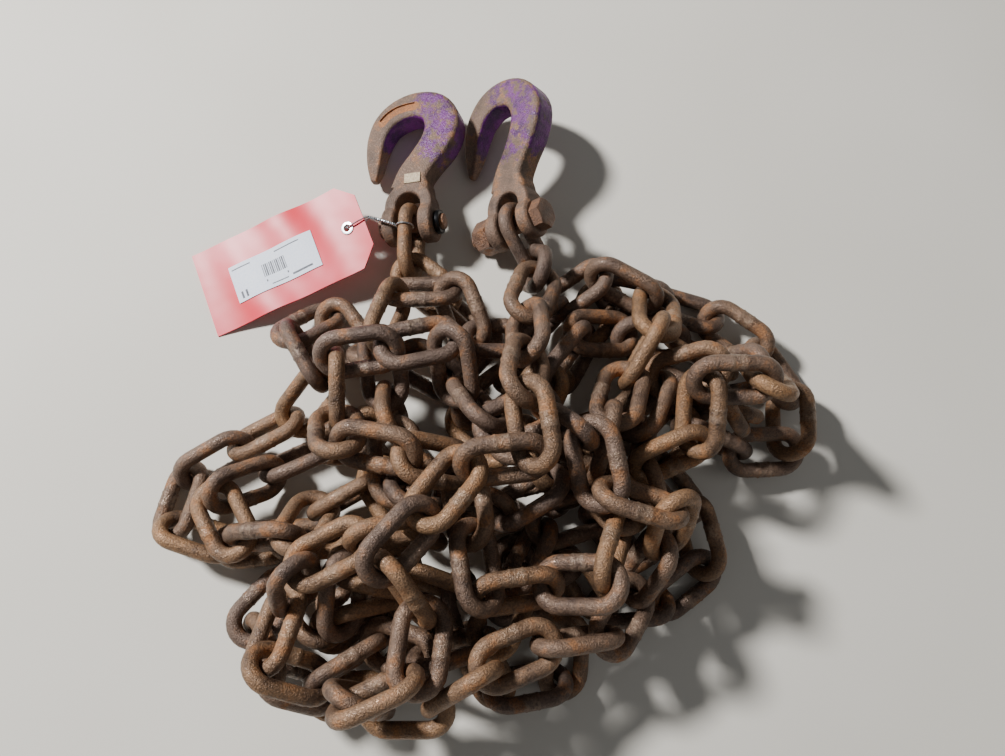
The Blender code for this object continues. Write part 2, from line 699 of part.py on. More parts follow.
def add_hook(name, frame, bow_mm, pin_diameter, finish):
    """One forging: the bow joined to the fork, with a boss on each ear and the pin's hole through both."""
    bow = [[frame @ Vector(corner) for corner in section] for section in bow_sections(bow_mm)]
    hook = add_object(name, loft(bmesh.new(), bow), finish)
    fork = add_object(name + "_fork", loft(bmesh.new(), fork_rings(frame)), finish, helper=True)
    boolean(hook, fork, "UNION")
    for label, sign in (("a", -1), ("b", 1)):
        inner = EAR_GAP / 2 - EAR_BOSS
        outer = EAR_GAP / 2 + EAR_WIDTH + EAR_BOSS
        places = [(sign * inner, EAR_RADIUS * 0.9), (sign * (inner + EAR_EASE), EAR_RADIUS),
                  (sign * (outer - EAR_EASE), EAR_RADIUS), (sign * outer, EAR_RADIUS * 0.9)]
        ear = add_object(f"{name}_ear_{label}", turned(frame, places, EAR_SIDES), finish, helper=True)
        boolean(hook, ear, "UNION")
    reach = EAR_GAP + EAR_WIDTH * 2
    radius = pin_diameter / 2 + PIN_HOLE_CLEARANCE
    hole = turned(frame, [(-reach, radius), (reach, radius)], PIN_SIDES)
    boolean(hook, add_object(name + "_hole", hole, finish, helper=True), "DIFFERENCE")


def add_left_pin(frame, steel, dark):
    seat = EAR_GAP / 2 + EAR_WIDTH + EAR_BOSS + GAP
    radius = PIN_DIAMETER / 2
    profile = [
        (-seat - PIN_HEAD_LENGTH, PIN_HEAD_DIAMETER / 2), (-seat, PIN_HEAD_DIAMETER / 2),
        (-seat, radius), (seat + PIN_END_LENGTH, radius),
    ]
    add_object("left_pin", turned(frame, profile, PIN_SIDES), steel)
    add_object("pin_keeper", washer(frame, seat, KEEPER_LENGTH, KEEPER_DIAMETER / 2, radius + GAP), dark)


def washer(frame, start, length, outer, inner):
    """A ring about the frame's X axis."""
    across = frame.to_3x3() @ Vector((0, 1, 0))
    up = frame.to_3x3() @ Vector((0, 0, 1))
    near, far = frame @ Vector((start, 0, 0)), frame @ Vector((start + length, 0, 0))
    rings = [circle(near, across, up, inner, PIN_SIDES), circle(near, across, up, outer, PIN_SIDES),
             circle(far, across, up, outer, PIN_SIDES), circle(far, across, up, inner, PIN_SIDES)]
    return loft(bmesh.new(), rings, closed=True)


def add_bolt(frame, steel):
    seat = EAR_GAP / 2 + EAR_WIDTH + EAR_BOSS + GAP
    radius = BOLT_DIAMETER / 2
    end = -seat - NUT_LENGTH - BOLT_STUB_LENGTH
    head_corner = BOLT_HEAD_ACROSS_FLATS / math.sqrt(3)
    nut_corner = NUT_ACROSS_FLATS / math.sqrt(3)
    shank = turned(frame, [(end, radius), (seat + BOLT_HEAD_LENGTH / 2, radius)], PIN_SIDES)
    bolt = add_object("right_bolt", shank, steel)
    head = turned(frame, [(seat, head_corner), (seat + BOLT_HEAD_LENGTH, head_corner)], 6)
    boolean(bolt, add_object("right_bolt_head", head, steel, helper=True), "UNION")
    prism = turned(frame, [(-seat - NUT_LENGTH, nut_corner), (-seat, nut_corner)], 6)
    nut = add_object("right_nut", prism, steel)
    bore = turned(frame, [(-seat - 2 * NUT_LENGTH, radius + GAP), (0.0, radius + GAP)], PIN_SIDES)
    boolean(nut, add_object("right_nut_bore", bore, steel, helper=True), "DIFFERENCE")


def tag_height(place):
    """How high the card's lower face lies at a place along its length."""
    share = place / TAG_LENGTH
    return TAG_RISE * share ** 1.2 + TAG_WAVE * math.sin(2 * math.pi * share) * share


def tag_points(places):
    """How far along and how high the card's middle line lies at these places of its true length."""
    along, points, last = 0.0, [], None
    for k in range(TAG_FINE + 1):
        place = TAG_LENGTH * k / TAG_FINE
        height = tag_height(place) + TAG_THICKNESS / 2
        if last is not None:
            along += math.sqrt(max((place - last[0]) ** 2 - (height - last[1]) ** 2, 0))
        points.append((along, height))
        last = (place, height)
    marks = np.linspace(0, TAG_LENGTH, TAG_FINE + 1)
    alongs = np.interp(places, marks, [p[0] for p in points])
    heights = np.interp(places, marks, [p[1] for p in points])
    return alongs, heights


def tag_strip(frame, start, end, half_width, middle, lift, thickness):
    """A bent strip that follows the card, lift above its middle face, with its width given by a function."""
    places = np.linspace(start, end, TAG_STEPS + 1)
    edge = TAG_LENGTH - TAG_CORNER_CUT
    if start < edge < end:
        places[int(np.argmin(np.abs(places - edge)))] = edge
    alongs, heights = tag_points(places)
    ahead_along, ahead_heights = tag_points(np.minimum(places + MM, TAG_LENGTH))
    back_along, back_heights = tag_points(np.maximum(places - MM, 0))
    rings = []
    for k, place in enumerate(places):
        lean = math.atan2(ahead_heights[k] - back_heights[k], ahead_along[k] - back_along[k])
        normal = Vector((-math.sin(lean), 0, math.cos(lean)))
        spot = Vector((alongs[k], 0, heights[k])) + normal * lift
        right, left = middle - half_width(place), middle + half_width(place)
        corners = [(right, -1), (left, -1), (left, 1), (right, 1)]
        ring = [spot + Vector((0, y, 0)) + normal * (face * thickness / 2) for y, face in corners]
        rings.append([frame @ point for point in ring])
    return loft(bmesh.new(), rings)


def tag_width(place):
    return TAG_WIDTH / 2 - max(0.0, place - (TAG_LENGTH - TAG_CORNER_CUT))


def tag_frame():
    """The card's frame, from its far end on the floor. Its eyelet lies beside the left hook."""
    reach = tag_points(np.array([TAG_LENGTH - EYELET_FROM_END]))[0][0]
    x, y = (pin + offset for pin, offset in zip(LEFT_PIN_MM, EYELET_FROM_PIN_MM))
    turn = Matrix.Rotation(TAG_HEADING, 4, "Z")
    return Matrix.Translation((x * MM, y * MM, 0)) @ turn @ Matrix.Translation((-reach, 0, 0))


def eyelet_frame(frame):
    """A frame at the eyelet with X along the card's normal and Y along the card."""
    place = TAG_LENGTH - EYELET_FROM_END
    alongs, heights = tag_points(np.array([place - MM, place, place + MM]))
    lean = math.atan2(heights[2] - heights[0], alongs[2] - alongs[0])
    normal = Vector((-math.sin(lean), 0, math.cos(lean)))
    along = Vector((math.cos(lean), 0, math.sin(lean)))
    local = Matrix((normal, along, normal.cross(along))).transposed().to_4x4()
    local.translation = Vector((alongs[1], 0, heights[1]))
    return frame @ local


def add_tag(card, paper, metal):
    """The card, its label and its eyelet. It returns the eyelet's frame."""
    frame = tag_frame()
    sheet = tag_strip(frame, 0, TAG_LENGTH, tag_width, 0.0, 0.0, TAG_THICKNESS)
    tag = add_object("tag", sheet, card)
    eyelet = eyelet_frame(frame)
    barrel = EYELET_BORE / 2 + EYELET_WALL
    reach = 3 * TAG_THICKNESS
    hole = turned(eyelet, [(-reach, barrel + GAP), (reach, barrel + GAP)], EYELET_SIDES)
    boolean(tag, add_object("tag_hole", hole, card, helper=True), "DIFFERENCE")
    lift = TAG_THICKNESS / 2 + GAP + LABEL_THICKNESS / 2
    label = tag_strip(frame, LABEL_START, LABEL_START + LABEL_LENGTH, lambda place: LABEL_WIDTH / 2,
                      LABEL_OFF_CENTRE, lift, LABEL_THICKNESS)
    add_object("tag_label", label, paper)
    across = eyelet.to_3x3() @ Vector((0, 1, 0))
    up = eyelet.to_3x3() @ Vector((0, 0, 1))
    seat = TAG_THICKNESS / 2 + GAP
    lip = seat + EYELET_LIP
    bore, rim = EYELET_BORE / 2, EYELET_DIAMETER / 2
    near_half = [(-lip, bore), (-lip, rim), (-seat, rim), (-seat, barrel)]
    profile = near_half + [(-x, r) for x, r in reversed(near_half)]
    rings = [circle(eyelet @ Vector((x, 0, 0)), across, up, r, EYELET_SIDES) for x, r in profile]
    add_object("tag_eyelet", loft(bmesh.new(), rings, closed=True), metal)
    return eyelet


def add_tag_wire(eyelet, link, metal):
    """One wire: a loop through the eyelet and round the card's end, a twisted stem and a loop on the link."""
    over = TAG_THICKNESS / 2 + GAP + EYELET_LIP + GAP + TIE_WIRE / 2
    end = EYELET_FROM_END
    upper_half = [(0.65 * over, 0.0), (over, TIE_WIRE), (over, end), (0.4 * over, end + 3 * TIE_WIRE)]
    lower_half = [(-x, y) for x, y in reversed(upper_half)]
    places = upper_half + [(0.0, end + 4 * TIE_WIRE)] + lower_half
    loop = tube([eyelet @ Vector((x, y, 0)) for x, y in places], TIE_WIRE / 2, TIE_SIDES, closed=True)
    wire = add_object("tag_wire", loop, metal)
    up = link.side if link.side[2] > 0 else -link.side
    middle = Vector(link.middle + CROWN_RADIUS * up - TIE_PLACE * link.axis)
    reach = SECTION_CORNER + GAP + TIE_WIRE / 2
    along, high = Vector(link.axis), Vector(up)
    out = high.cross(along).normalized()
    if out.x > 0:
        out.negate()
    collar = tube(circle(middle, out, high, reach, 2 * TIE_SIDES), TIE_WIRE / 2, TIE_SIDES, closed=True)
    start = eyelet @ Vector((0, end + 2.8 * TIE_WIRE, 0.2 * TIE_WIRE))
    finish = middle + (out * math.cos(TIE_EXIT) + high * math.sin(TIE_EXIT)) * reach
    crest = start.lerp(finish, 0.5) + Vector((0, 0, TIE_HUMP))
    stem = tube([start, crest, finish], TIE_TWIST / 2, TIE_SIDES, closed=False)
    boolean(wire, add_object("tag_wire_stem", stem, metal, helper=True), "UNION")
    boolean(wire, add_object("tag_wire_collar", collar, metal, helper=True), "UNION")


def stand_on_origin():
    """Moves every solid so that the footprint is centred on the origin and the lowest point is at zero."""
    places = np.array([corner.co for item in bpy.data.objects for corner in item.data.vertices])
    low, high = places.min(axis=0), places.max(axis=0)
    shift = Vector((-(low[0] + high[0]) / 2, -(low[1] + high[1]) / 2, -low[2]))
    for item in bpy.data.objects:
        item.data.transform(Matrix.Translation(shift))


def as_matrix(frame):
    """The placing matrix of a hook's frame."""
    matrix = Matrix(np.column_stack([frame.pin, frame.along, frame.up]).tolist()).to_4x4()
    matrix.translation = frame.middle.tolist()
    return matrix


def main():
    clear_scene()
    rusty = material("rusty chain steel", (0.16, 0.085, 0.05), 0.6, 0.5)
    painted = material("worn purple paint on forged steel", (0.16, 0.05, 0.30), 0.45, 0.2)
    dark = material("dark keeper steel", (0.03, 0.03, 0.035), 0.4, 0.8)
    card = material("glossy coated card", (0.75, 0.08, 0.12), 0.25, 0.0)
    paper = material("white label paper", (0.8, 0.82, 0.86), 0.6, 0.0)
    zinc = material("zinc-plated wire", (0.6, 0.6, 0.6), 0.3, 1.0)

    left_frame = left_hook_frame()
    links = lay_chain(smooth_route(ROUTE_MM), first_link(left_frame))
    left, right = as_matrix(left_frame), as_matrix(right_hook_frame(links[-1]))
    add_chain(links, rusty)
    add_hook("left_hook", left, LEFT_BOW_MM, PIN_DIAMETER, painted)
    add_left_pin(left, rusty, dark)
    add_hook("right_hook", right, RIGHT_BOW_MM, BOLT_DIAMETER, painted)
    add_bolt(right, rusty)
    eyelet = add_tag(card, paper, zinc)
    add_tag_wire(eyelet, links[0], zinc)
    for item in [item for item in bpy.data.objects if not item.hide_render]:
        apply_booleans(item)
    stand_on_origin()


main()
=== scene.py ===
"""Looks for a heap of rusty welded chain with a forged clevis hook at each end and a tag on its first link.

The links are laid by the rule that lays the solids, so each smooth link lies on its solid one.
Lengths are in metres, +Z is up, and the tag and hooks lie towards +Y.
"""

import json
import math
from collections import namedtuple

import bmesh
import bpy
import numpy as np
from mathutils import Matrix, Vector

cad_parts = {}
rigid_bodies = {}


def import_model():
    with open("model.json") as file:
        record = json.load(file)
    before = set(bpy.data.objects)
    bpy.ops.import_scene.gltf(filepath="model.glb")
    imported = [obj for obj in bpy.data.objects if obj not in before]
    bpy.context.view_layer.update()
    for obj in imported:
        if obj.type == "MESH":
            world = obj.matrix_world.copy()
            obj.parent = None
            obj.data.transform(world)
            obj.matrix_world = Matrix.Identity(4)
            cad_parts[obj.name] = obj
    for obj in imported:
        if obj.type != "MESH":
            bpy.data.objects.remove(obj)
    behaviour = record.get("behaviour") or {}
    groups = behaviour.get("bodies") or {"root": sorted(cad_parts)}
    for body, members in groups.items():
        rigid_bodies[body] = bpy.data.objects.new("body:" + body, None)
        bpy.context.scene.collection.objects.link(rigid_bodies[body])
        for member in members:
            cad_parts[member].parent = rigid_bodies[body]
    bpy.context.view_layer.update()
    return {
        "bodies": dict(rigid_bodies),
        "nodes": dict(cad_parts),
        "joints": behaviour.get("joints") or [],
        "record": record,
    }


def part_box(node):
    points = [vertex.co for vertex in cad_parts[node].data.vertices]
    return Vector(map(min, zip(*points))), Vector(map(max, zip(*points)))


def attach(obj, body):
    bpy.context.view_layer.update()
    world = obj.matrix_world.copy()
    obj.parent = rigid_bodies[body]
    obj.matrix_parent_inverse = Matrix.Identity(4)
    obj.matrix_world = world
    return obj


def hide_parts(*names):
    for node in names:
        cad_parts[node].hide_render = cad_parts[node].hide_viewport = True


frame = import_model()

MM = 0.001

# Chain links: round wire bent to an oval and welded.
WIRE = 10.0 * MM
LINK_INNER_LENGTH = 38.0 * MM
LINK_INNER_WIDTH = 14.5 * MM

# The solid links have a six-sided section whose corners stand a little outside the round wire.
SECTION_SIDES = 6
SECTION_CORNER = 0.525 * WIRE

# Links of one run bear on each other and are fused there. Separate solids keep a gap.
RUN_LINKS = 4
BEARING_OVERLAP = 0.3 * MM
WIDEST_BEARING = 0.9 * MM
GAP = 0.3 * MM

# Forged clevis hooks: a fork with two round ears, and a bow that tapers to its point.
EAR_GAP = 18.0 * MM
EAR_WIDTH = 9.5 * MM
EAR_RADIUS = 14.0 * MM
EAR_BOSS = 0.4 * MM
EAR_EASE = 1.5 * MM
FORK_REACH = 12.5 * MM
FORK_HALF_THICKNESS = 9.5 * MM
PIN_HOLE_CLEARANCE = 0.3 * MM

# How far from a hook's middle its ears' outer faces lie, and the faces of the fasteners seated on them.
EAR_FACE = EAR_GAP / 2 + EAR_WIDTH + EAR_BOSS
SEAT = EAR_FACE + GAP

# Each bow's centre line in its hook's plane, from the point round to the shank, as
# (across, along, half width, half thickness) in millimetres from the middle of the pin.
LEFT_BOW_MM = [
    (-31.0, 38.5, 2.4, 3.0),
    (-30.5, 48.0, 5.0, 5.5),
    (-30.0, 59.0, 6.6, 7.0),
    (-28.0, 71.0, 7.8, 8.2),
    (-22.5, 83.0, 8.8, 9.0),
    (-12.0, 91.0, 9.8, 9.5),
    (2.0, 94.0, 10.6, 10.0),
    (16.5, 89.5, 12.2, 10.0),
    (23.5, 76.5, 13.6, 10.0),
    (19.5, 61.5, 12.6, 10.0),
    (9.5, 48.0, 11.4, 9.6),
    (2.0, 37.0, 12.2, 9.5),
    (0.0, 26.0, 15.5, 9.0),
]
RIGHT_BOW_MM = [
    (-36.5, 51.5, 1.8, 2.6),
    (-34.0, 61.0, 4.4, 5.2),
    (-31.5, 71.0, 6.2, 7.0),
    (-28.0, 82.0, 7.4, 8.2),
    (-22.0, 93.0, 8.6, 9.0),
    (-11.0, 101.0, 9.6, 9.5),
    (3.0, 102.0, 10.4, 10.0),
    (16.0, 95.5, 11.6, 10.0),
    (22.5, 82.0, 13.0, 10.0),
    (19.0, 66.0, 12.4, 10.0),
    (9.5, 50.0, 11.2, 9.6),
    (2.0, 37.0, 12.2, 9.5),
    (0.0, 26.0, 15.5, 9.0),
]

# The solid bow, by which a hook's lie is found: steps between two stations, and how wide its flats are.
BOW_STEPS = 2
BOW_CHAMFER = 0.75

# Left hook: a round clevis pin with a head, and a keeper on its far end.
PIN_DIAMETER = 11.1 * MM
PIN_HEAD_DIAMETER = 16.0 * MM
PIN_HEAD_LENGTH = 4.0 * MM
PIN_END_LENGTH = 6.5 * MM
KEEPER_DIAMETER = 17.0 * MM
KEEPER_LENGTH = 4.0 * MM
LEFT_PIN_MM = (-65.4, 108.8)
LEFT_HOOK_HEADING = math.radians(90.0)
LEFT_HOOK_ROLL = math.radians(16.0)

# Right hook: a hexagon bolt with a heavy nut.
BOLT_DIAMETER = 12.7 * MM
BOLT_HEAD_ACROSS_FLATS = 19.0 * MM
BOLT_HEAD_LENGTH = 8.0 * MM
BOLT_STUB_LENGTH = 6.0 * MM
NUT_ACROSS_FLATS = 22.2 * MM
NUT_LENGTH = 12.3 * MM
RIGHT_PIN_MM = (17.2, 98.9)
RIGHT_HOOK_HEADING = math.radians(84.0)
RIGHT_HOOK_ROLL = math.radians(28.0)

# Tag of coated card, its paper label, its eyelet and its twisted wire.
TAG_LENGTH = 131.0 * MM
TAG_WIDTH = 66.7 * MM
TAG_THICKNESS = 0.8 * MM
TAG_CORNER_CUT = 13.0 * MM
TAG_HEADING = math.radians(22.0)
TAG_RISE = 27.0 * MM
TAG_RISE_POWER = 1.2
TAG_WAVE = 2.5 * MM
TAG_FINE = 240
LABEL_LENGTH = 67.0 * MM
LABEL_WIDTH = 29.0 * MM
LABEL_THICKNESS = 0.3 * MM
LABEL_START = 23.5 * MM
LABEL_OFF_CENTRE = -3.0 * MM
EYELET_DIAMETER = 9.6 * MM
EYELET_BORE = 5.0 * MM
EYELET_WALL = 0.5 * MM
EYELET_LIP = 0.6 * MM
EYELET_FROM_END = 14.0 * MM
EYELET_FROM_PIN_MM = (-45.2, -4.3)
TIE_WIRE = 1.2 * MM
TIE_PLACE = 6.5 * MM
TIE_EXIT = math.radians(35.0)
TIE_HUMP = 2.0 * MM

# Where the chain runs in plan, from the left hook to the right one, in millimetres.
ROUTE_MM = [
    (-65, 120), (-66, 87), (-78, 62), (-64, 52), (-36, 56), (-20, 37), (-40, 19), (-74, 14),
    (-100, 24), (-116, 40), (-124, 20), (-112, 2), (-86, -6), (-107, -9), (-138, -11), (-130, -32),
    (-151, -40), (-178, -47), (-200, -62), (-218, -79), (-228, -97), (-204, -118), (-171, -121),
    (-139, -113), (-110, -103), (-86, -113), (-91, -135), (-124, -140), (-152, -150), (-158, -168),
    (-143, -188), (-116, -200), (-85, -206), (-60, -200), (-55, -182), (-84, -176), (-111, -173),
    (-111, -156), (-84, -154), (-53, -157), (-27, -172), (-8, -190), (-10, -205), (12, -214),
    (32, -200), (37, -175), (14, -154), (-8, -138), (11, -120), (41, -123), (56, -148), (62, -175),
    (87, -175), (98, -148), (109, -126), (138, -133), (140, -107), (118, -84), (102, -64),
    (126, -57), (152, -73), (183, -66), (204, -44), (193, -14), (176, 16), (150, 44), (118, 47),
    (97, 55), (77, 77), (50, 67), (55, 38), (43, 9), (12, -9), (-19, -5), (-46, -19), (-36, -47),
    (-2, -54), (32, -47), (66, -40), (97, -23), (128, -19), (127, -52), (97, -81), (64, -75),
    (31, -84), (-2, -94), (-34, -94), (-61, -75), (-79, -48), (-106, -41), (-128, -58), (-153, -69),
    (-176, -88), (-152, -104), (-125, -91), (-100, -82), (-81, -107), (-86, -138), (-114, -150),
    (-134, -171), (-117, -190), (-90, -196), (-66, -178), (-39, -150), (-8, -150), (24, -126),
    (36, -98), (62, -101), (86, -120), (119, -114), (131, -82), (122, -50), (145, -19), (137, 9),
    (107, 23), (73, 30), (54, -1), (34, -32), (14, -65), (-8, -96), (-32, -120), (-63, -132),
    (-64, -102), (-68, -71), (-76, -38), (-85, -7), (-59, 12), (-28, 11), (2, -1), (28, 13),
    (59, 30), (88, 23), (99, -6), (78, -40), (54, -66), (38, -97), (10, -86), (-22, -84),
    (-54, -90), (-84, -96), (-98, -70), (-84, -42), (-52, -30), (-20, -30), (12, -44),
    (40, -58), (66, -84), (62, -112), (44, -126), (23, -150),
    (-7, -155), (-37, -170), (-44, -144), (-34, -109), (-20, -73), (-2, -37), (18, 6), (20, 46),
    (20, 76), (18, 102), (18, 126),
]

# The laying rule. Angles are tried in this order. Links are told apart by sample points on their wire.
SAMPLE_STEP = 3.6 * MM
SAMPLE_MARGIN = 0.3 * MM
QUICK_STRIDE = 6
TURNS = np.radians([0, 8, -8, 16, -16, 26, -26, 38, -38, 52, -52, 68, -68, 85, -85])
SLOPES = np.radians(np.arange(-60, 61, 6))
TWISTS = np.radians([0, 10, -10, 20, -20, 30, -30])
STEEPEST_SWING = math.radians(80)
STEEPEST_BEND = math.radians(65)

# How the route is read, and how far ahead the chain's tip looks along it.
ROUTE_STEP = 2.0 * MM
ROUTE_FINENESS = 24
ROUTE_SWAY = 3.0 * MM
SWAY_SEED = 22
STRAIGHT_POINTS = 5
LONGEST_STEP = 90.0 * MM
LOOK_AHEAD = 32.0 * MM
ROUTE_WINDOW = 2.5 * LOOK_AHEAD
CLIMB = 0.8
TALLEST_TIP = 60.0 * MM
LOOK_FURTHER = 1.5 * TALLEST_TIP / CLIMB
UNDER_REACH = 1.2 * WIRE / 2
UPRIGHT_SLACK = 0.12

# Scores count distances in wire diameters, and the best few clear poses are kept.
TIP_NEED_WEIGHT = 0.05
TOO_TALL_WEIGHT = 0.5
STRAY_WEIGHT = 0.4
TWIST_WEIGHT = 0.4
SLOPE_WEIGHT = 0.5
TURN_WEIGHT = 0.3
SCORE_DIGITS = 4
BATCH = 60
KEPT_CHOICES = 10

# How the last link meets the right hook, and how a hook swings down to the floor.
NEAREST_END = 62.0 * MM
CLOSING_REACH = 1.8 * NEAREST_END
CLOSING_SWERVE = math.radians(14)
CLOSING_ROLL_MISS = math.radians(14)
CLOSING_MISS = 14.0 * MM
CLOSING_SLOPES = np.radians(np.arange(-60, 60, 0.5))
CLOSING_PLAY = 0.6 * MM
CLOSING_ROLL_WEIGHT = 3
CLOSING_SWERVE_WEIGHT = 10
CLOSING_DIGITS = 6
CLOSING_TRIES = 200
STEEPEST_HANG = math.radians(20)
HANG_STEP = math.radians(0.1)

# How the chain steps back where it can't go on.
MOST_STEPS_BACK = 500
STUCK_STEPS = 12
LONGER_JUMP = 2

CROWN_RADIUS = (LINK_INNER_WIDTH + WIRE) / 2
HALF_LENGTH = (LINK_INNER_LENGTH + WIRE) / 2
CLEAR_SPACING = 2 * SECTION_CORNER + GAP
FUSED_SPACING = 2 * SECTION_CORNER * math.cos(math.pi / SECTION_SIDES) - BEARING_OVERLAP

# A link's pose: its middle, its long axis and its crosswise axis, with sample points on its wire.
Link = namedtuple("Link", "middle axis side points")

# A hook's place: the middle of its pin, the pin's direction, the way to the bow, and out of its upper face.
HookFrame = namedtuple("HookFrame", "middle pin along up")


def unit(vectors):
    return vectors / np.linalg.norm(vectors, axis=-1, keepdims=True)


def oval_corners():
    """The eight corners of a link's centre line, as (along, across): an octagon parted by straight sides."""
    reach = CROWN_RADIUS / math.cos(math.pi / 8)
    straight = HALF_LENGTH - CROWN_RADIUS
    corners = []
    for k in range(8):
        turn = math.radians(-67.5 + 45 * k)
        along = reach * math.cos(turn)
        corners.append((along + math.copysign(straight, along), reach * math.sin(turn)))
    return np.array(corners)


def oval_samples():
    corners = oval_corners()
    samples = []
    for start, end in zip(corners, np.roll(corners, -1, axis=0)):
        count = math.ceil(np.linalg.norm(end - start) / SAMPLE_STEP)
        samples += [start + (end - start) * k / count for k in range(count)]
    return np.array(samples)


OVAL_SAMPLES = oval_samples()


def wire_points(middles, axes, sides):
    """Sample points on the wires of many links at once, as (links, samples, 3)."""
    along = OVAL_SAMPLES[None, :, 0:1] * axes[:, None, :]
    across = OVAL_SAMPLES[None, :, 1:2] * sides[:, None, :]
    return middles[:, None, :] + along + across


def link_at(middle, axis, side):
    points = wire_points(middle[None], axis[None], side[None])[0]
    return Link(middle, axis, side, points)


def smooth_route(corners):
    """A smooth curve through the route's points, each swayed a little, read every ROUTE_STEP."""
    sway = np.random.default_rng(SWAY_SEED).uniform(-ROUTE_SWAY, ROUTE_SWAY, (len(corners), 2))
    sway[:STRAIGHT_POINTS] = sway[-STRAIGHT_POINTS:] = 0
    fine = curve_through(np.array(corners) * MM + sway, ROUTE_FINENESS)
    run = np.concatenate([[0], np.cumsum(np.linalg.norm(np.diff(fine, axis=0), axis=1))])
    marks = np.arange(0, run[-1], ROUTE_STEP)
    return np.column_stack([np.interp(marks, run, fine[:, k]) for k in (0, 1)])


def pose_grid(slopes, indexing):
    return [part.ravel() for part in np.meshgrid(TURNS, slopes, TWISTS, indexing=indexing)]


def far_end(link):
    return link.middle + HALF_LENGTH * link.axis


def next_is_fused(links):
    return len(links) % RUN_LINKS > 0


def section_reach(cosine):
    """How far the six-sided section reaches in a direction at this cosine to its first corner."""
    share = math.pi / SECTION_SIDES
    turn = np.arccos(np.clip(cosine, -1, 1))
    return SECTION_CORNER * np.cos((turn + share) % (2 * share) - share)


def next_poses(links, aim, grid):
    """Poses of the next link, threaded through the last one's far crown, and which of them are possible.

    The new link swings about the old crown's wire, bends about its own crown's wire and twists about
    the line between them. Fused crowns overlap a little, and others keep their gap.
    """
    turn, slope, twist = grid
    link = links[-1]
    crown = far_end(link)
    heading = math.atan2(aim[1] - crown[1], aim[0] - crown[0])
    level = np.cos(slope)
    want = np.column_stack([level * np.cos(heading + turn), level * np.sin(heading + turn), np.sin(slope)])
    pull = unit(want - (want @ link.side)[:, None] * link.side)
    square = np.cross(pull, link.side)
    side = unit(np.cos(twist)[:, None] * square + np.sin(twist)[:, None] * np.cross(pull, square))
    axis = unit(want - np.sum(want * side, axis=1)[:, None] * side)
    swing, bend = pull @ link.axis, np.sum(pull * axis, axis=1)
    possible = (swing > math.cos(STEEPEST_SWING)) & (bend > math.cos(STEEPEST_BEND))
    reach = section_reach(swing) + section_reach(bend)
    if next_is_fused(links):
        spacing = reach[:, None] - BEARING_OVERLAP
    else:
        spacing = CLEAR_SPACING
        possible &= reach > CLEAR_SPACING - WIDEST_BEARING
    middle = crown - spacing * pull + HALF_LENGTH * axis
    return middle, axis, side, possible


def nearest_distances(points, others):
    """For each set of points, the distance to the nearest of the other points."""
    flat = points.reshape(-1, 3)
    squares = (flat ** 2).sum(1)[:, None] + (others ** 2).sum(1)[None] - 2 * flat @ others.T
    nearest = np.sqrt(np.maximum(squares.min(axis=1), 0))
    return nearest.reshape(points.shape[:2]).min(axis=1)


def clear_poses(points, links):
    """Which sets of wire points clear the floor, the link before and every earlier link."""
    index = np.flatnonzero(points[:, :, 2].min(axis=1) >= SECTION_CORNER)
    if len(index):
        reach = CLEAR_SPACING + SAMPLE_MARGIN
        low, high = points[index].min(axis=(0, 1)) - reach, points[index].max(axis=(0, 1)) + reach
        beside = [
            link.points for link in links[:-1]
            if (link.points.max(axis=0) >= low).all() and (link.points.min(axis=0) <= high).all()
        ]
        least = (FUSED_SPACING if next_is_fused(links) else CLEAR_SPACING) - SAMPLE_MARGIN / 3
        rules = [(links[-1].points, least)] + ([(np.vstack(beside), reach)] if beside else [])
        for stride in (QUICK_STRIDE, 1):
            for others, distance in rules:
                index = index[nearest_distances(points[index, ::stride], others) >= distance]
    good = np.zeros(len(points), bool)
    good[index] = True
    return good


def height_needed(route, at, links):
    """How high the chain's tip has to be by now to climb over what lies ahead on its route."""
    ahead = np.arange(0, LOOK_FURTHER, 2 * ROUTE_STEP)
    marks = at + ((LOOK_AHEAD + ahead) / ROUTE_STEP).astype(int)
    places = route[np.minimum(marks, len(route) - 1)]
    laid = np.vstack([link.points for link in links])
    distances = ((places[:, None, :] - laid[None, :, :2]) ** 2).sum(axis=2)
    under = np.where(distances < UNDER_REACH ** 2, laid[None, :, 2] + WIRE / 2, 0).max(axis=1)
    return np.where(under > 0, under + WIRE - CLIMB * ahead, 0).max()


def best_first(score, possible, digits):
    """The possible poses in the order of their rounded scores."""
    order = np.argsort(np.round(score, digits), kind="stable")
    return order[possible[order]]


def clear_links(order, poses, links):
    """Links at those of the poses that clear what is laid, in the given order."""
    middle, axis, side = (part[order] for part in poses)
    points = wire_points(middle, axis, side)
    return [Link(middle[k], axis[k], side[k], points[k]) for k in np.flatnonzero(clear_poses(points, links))]


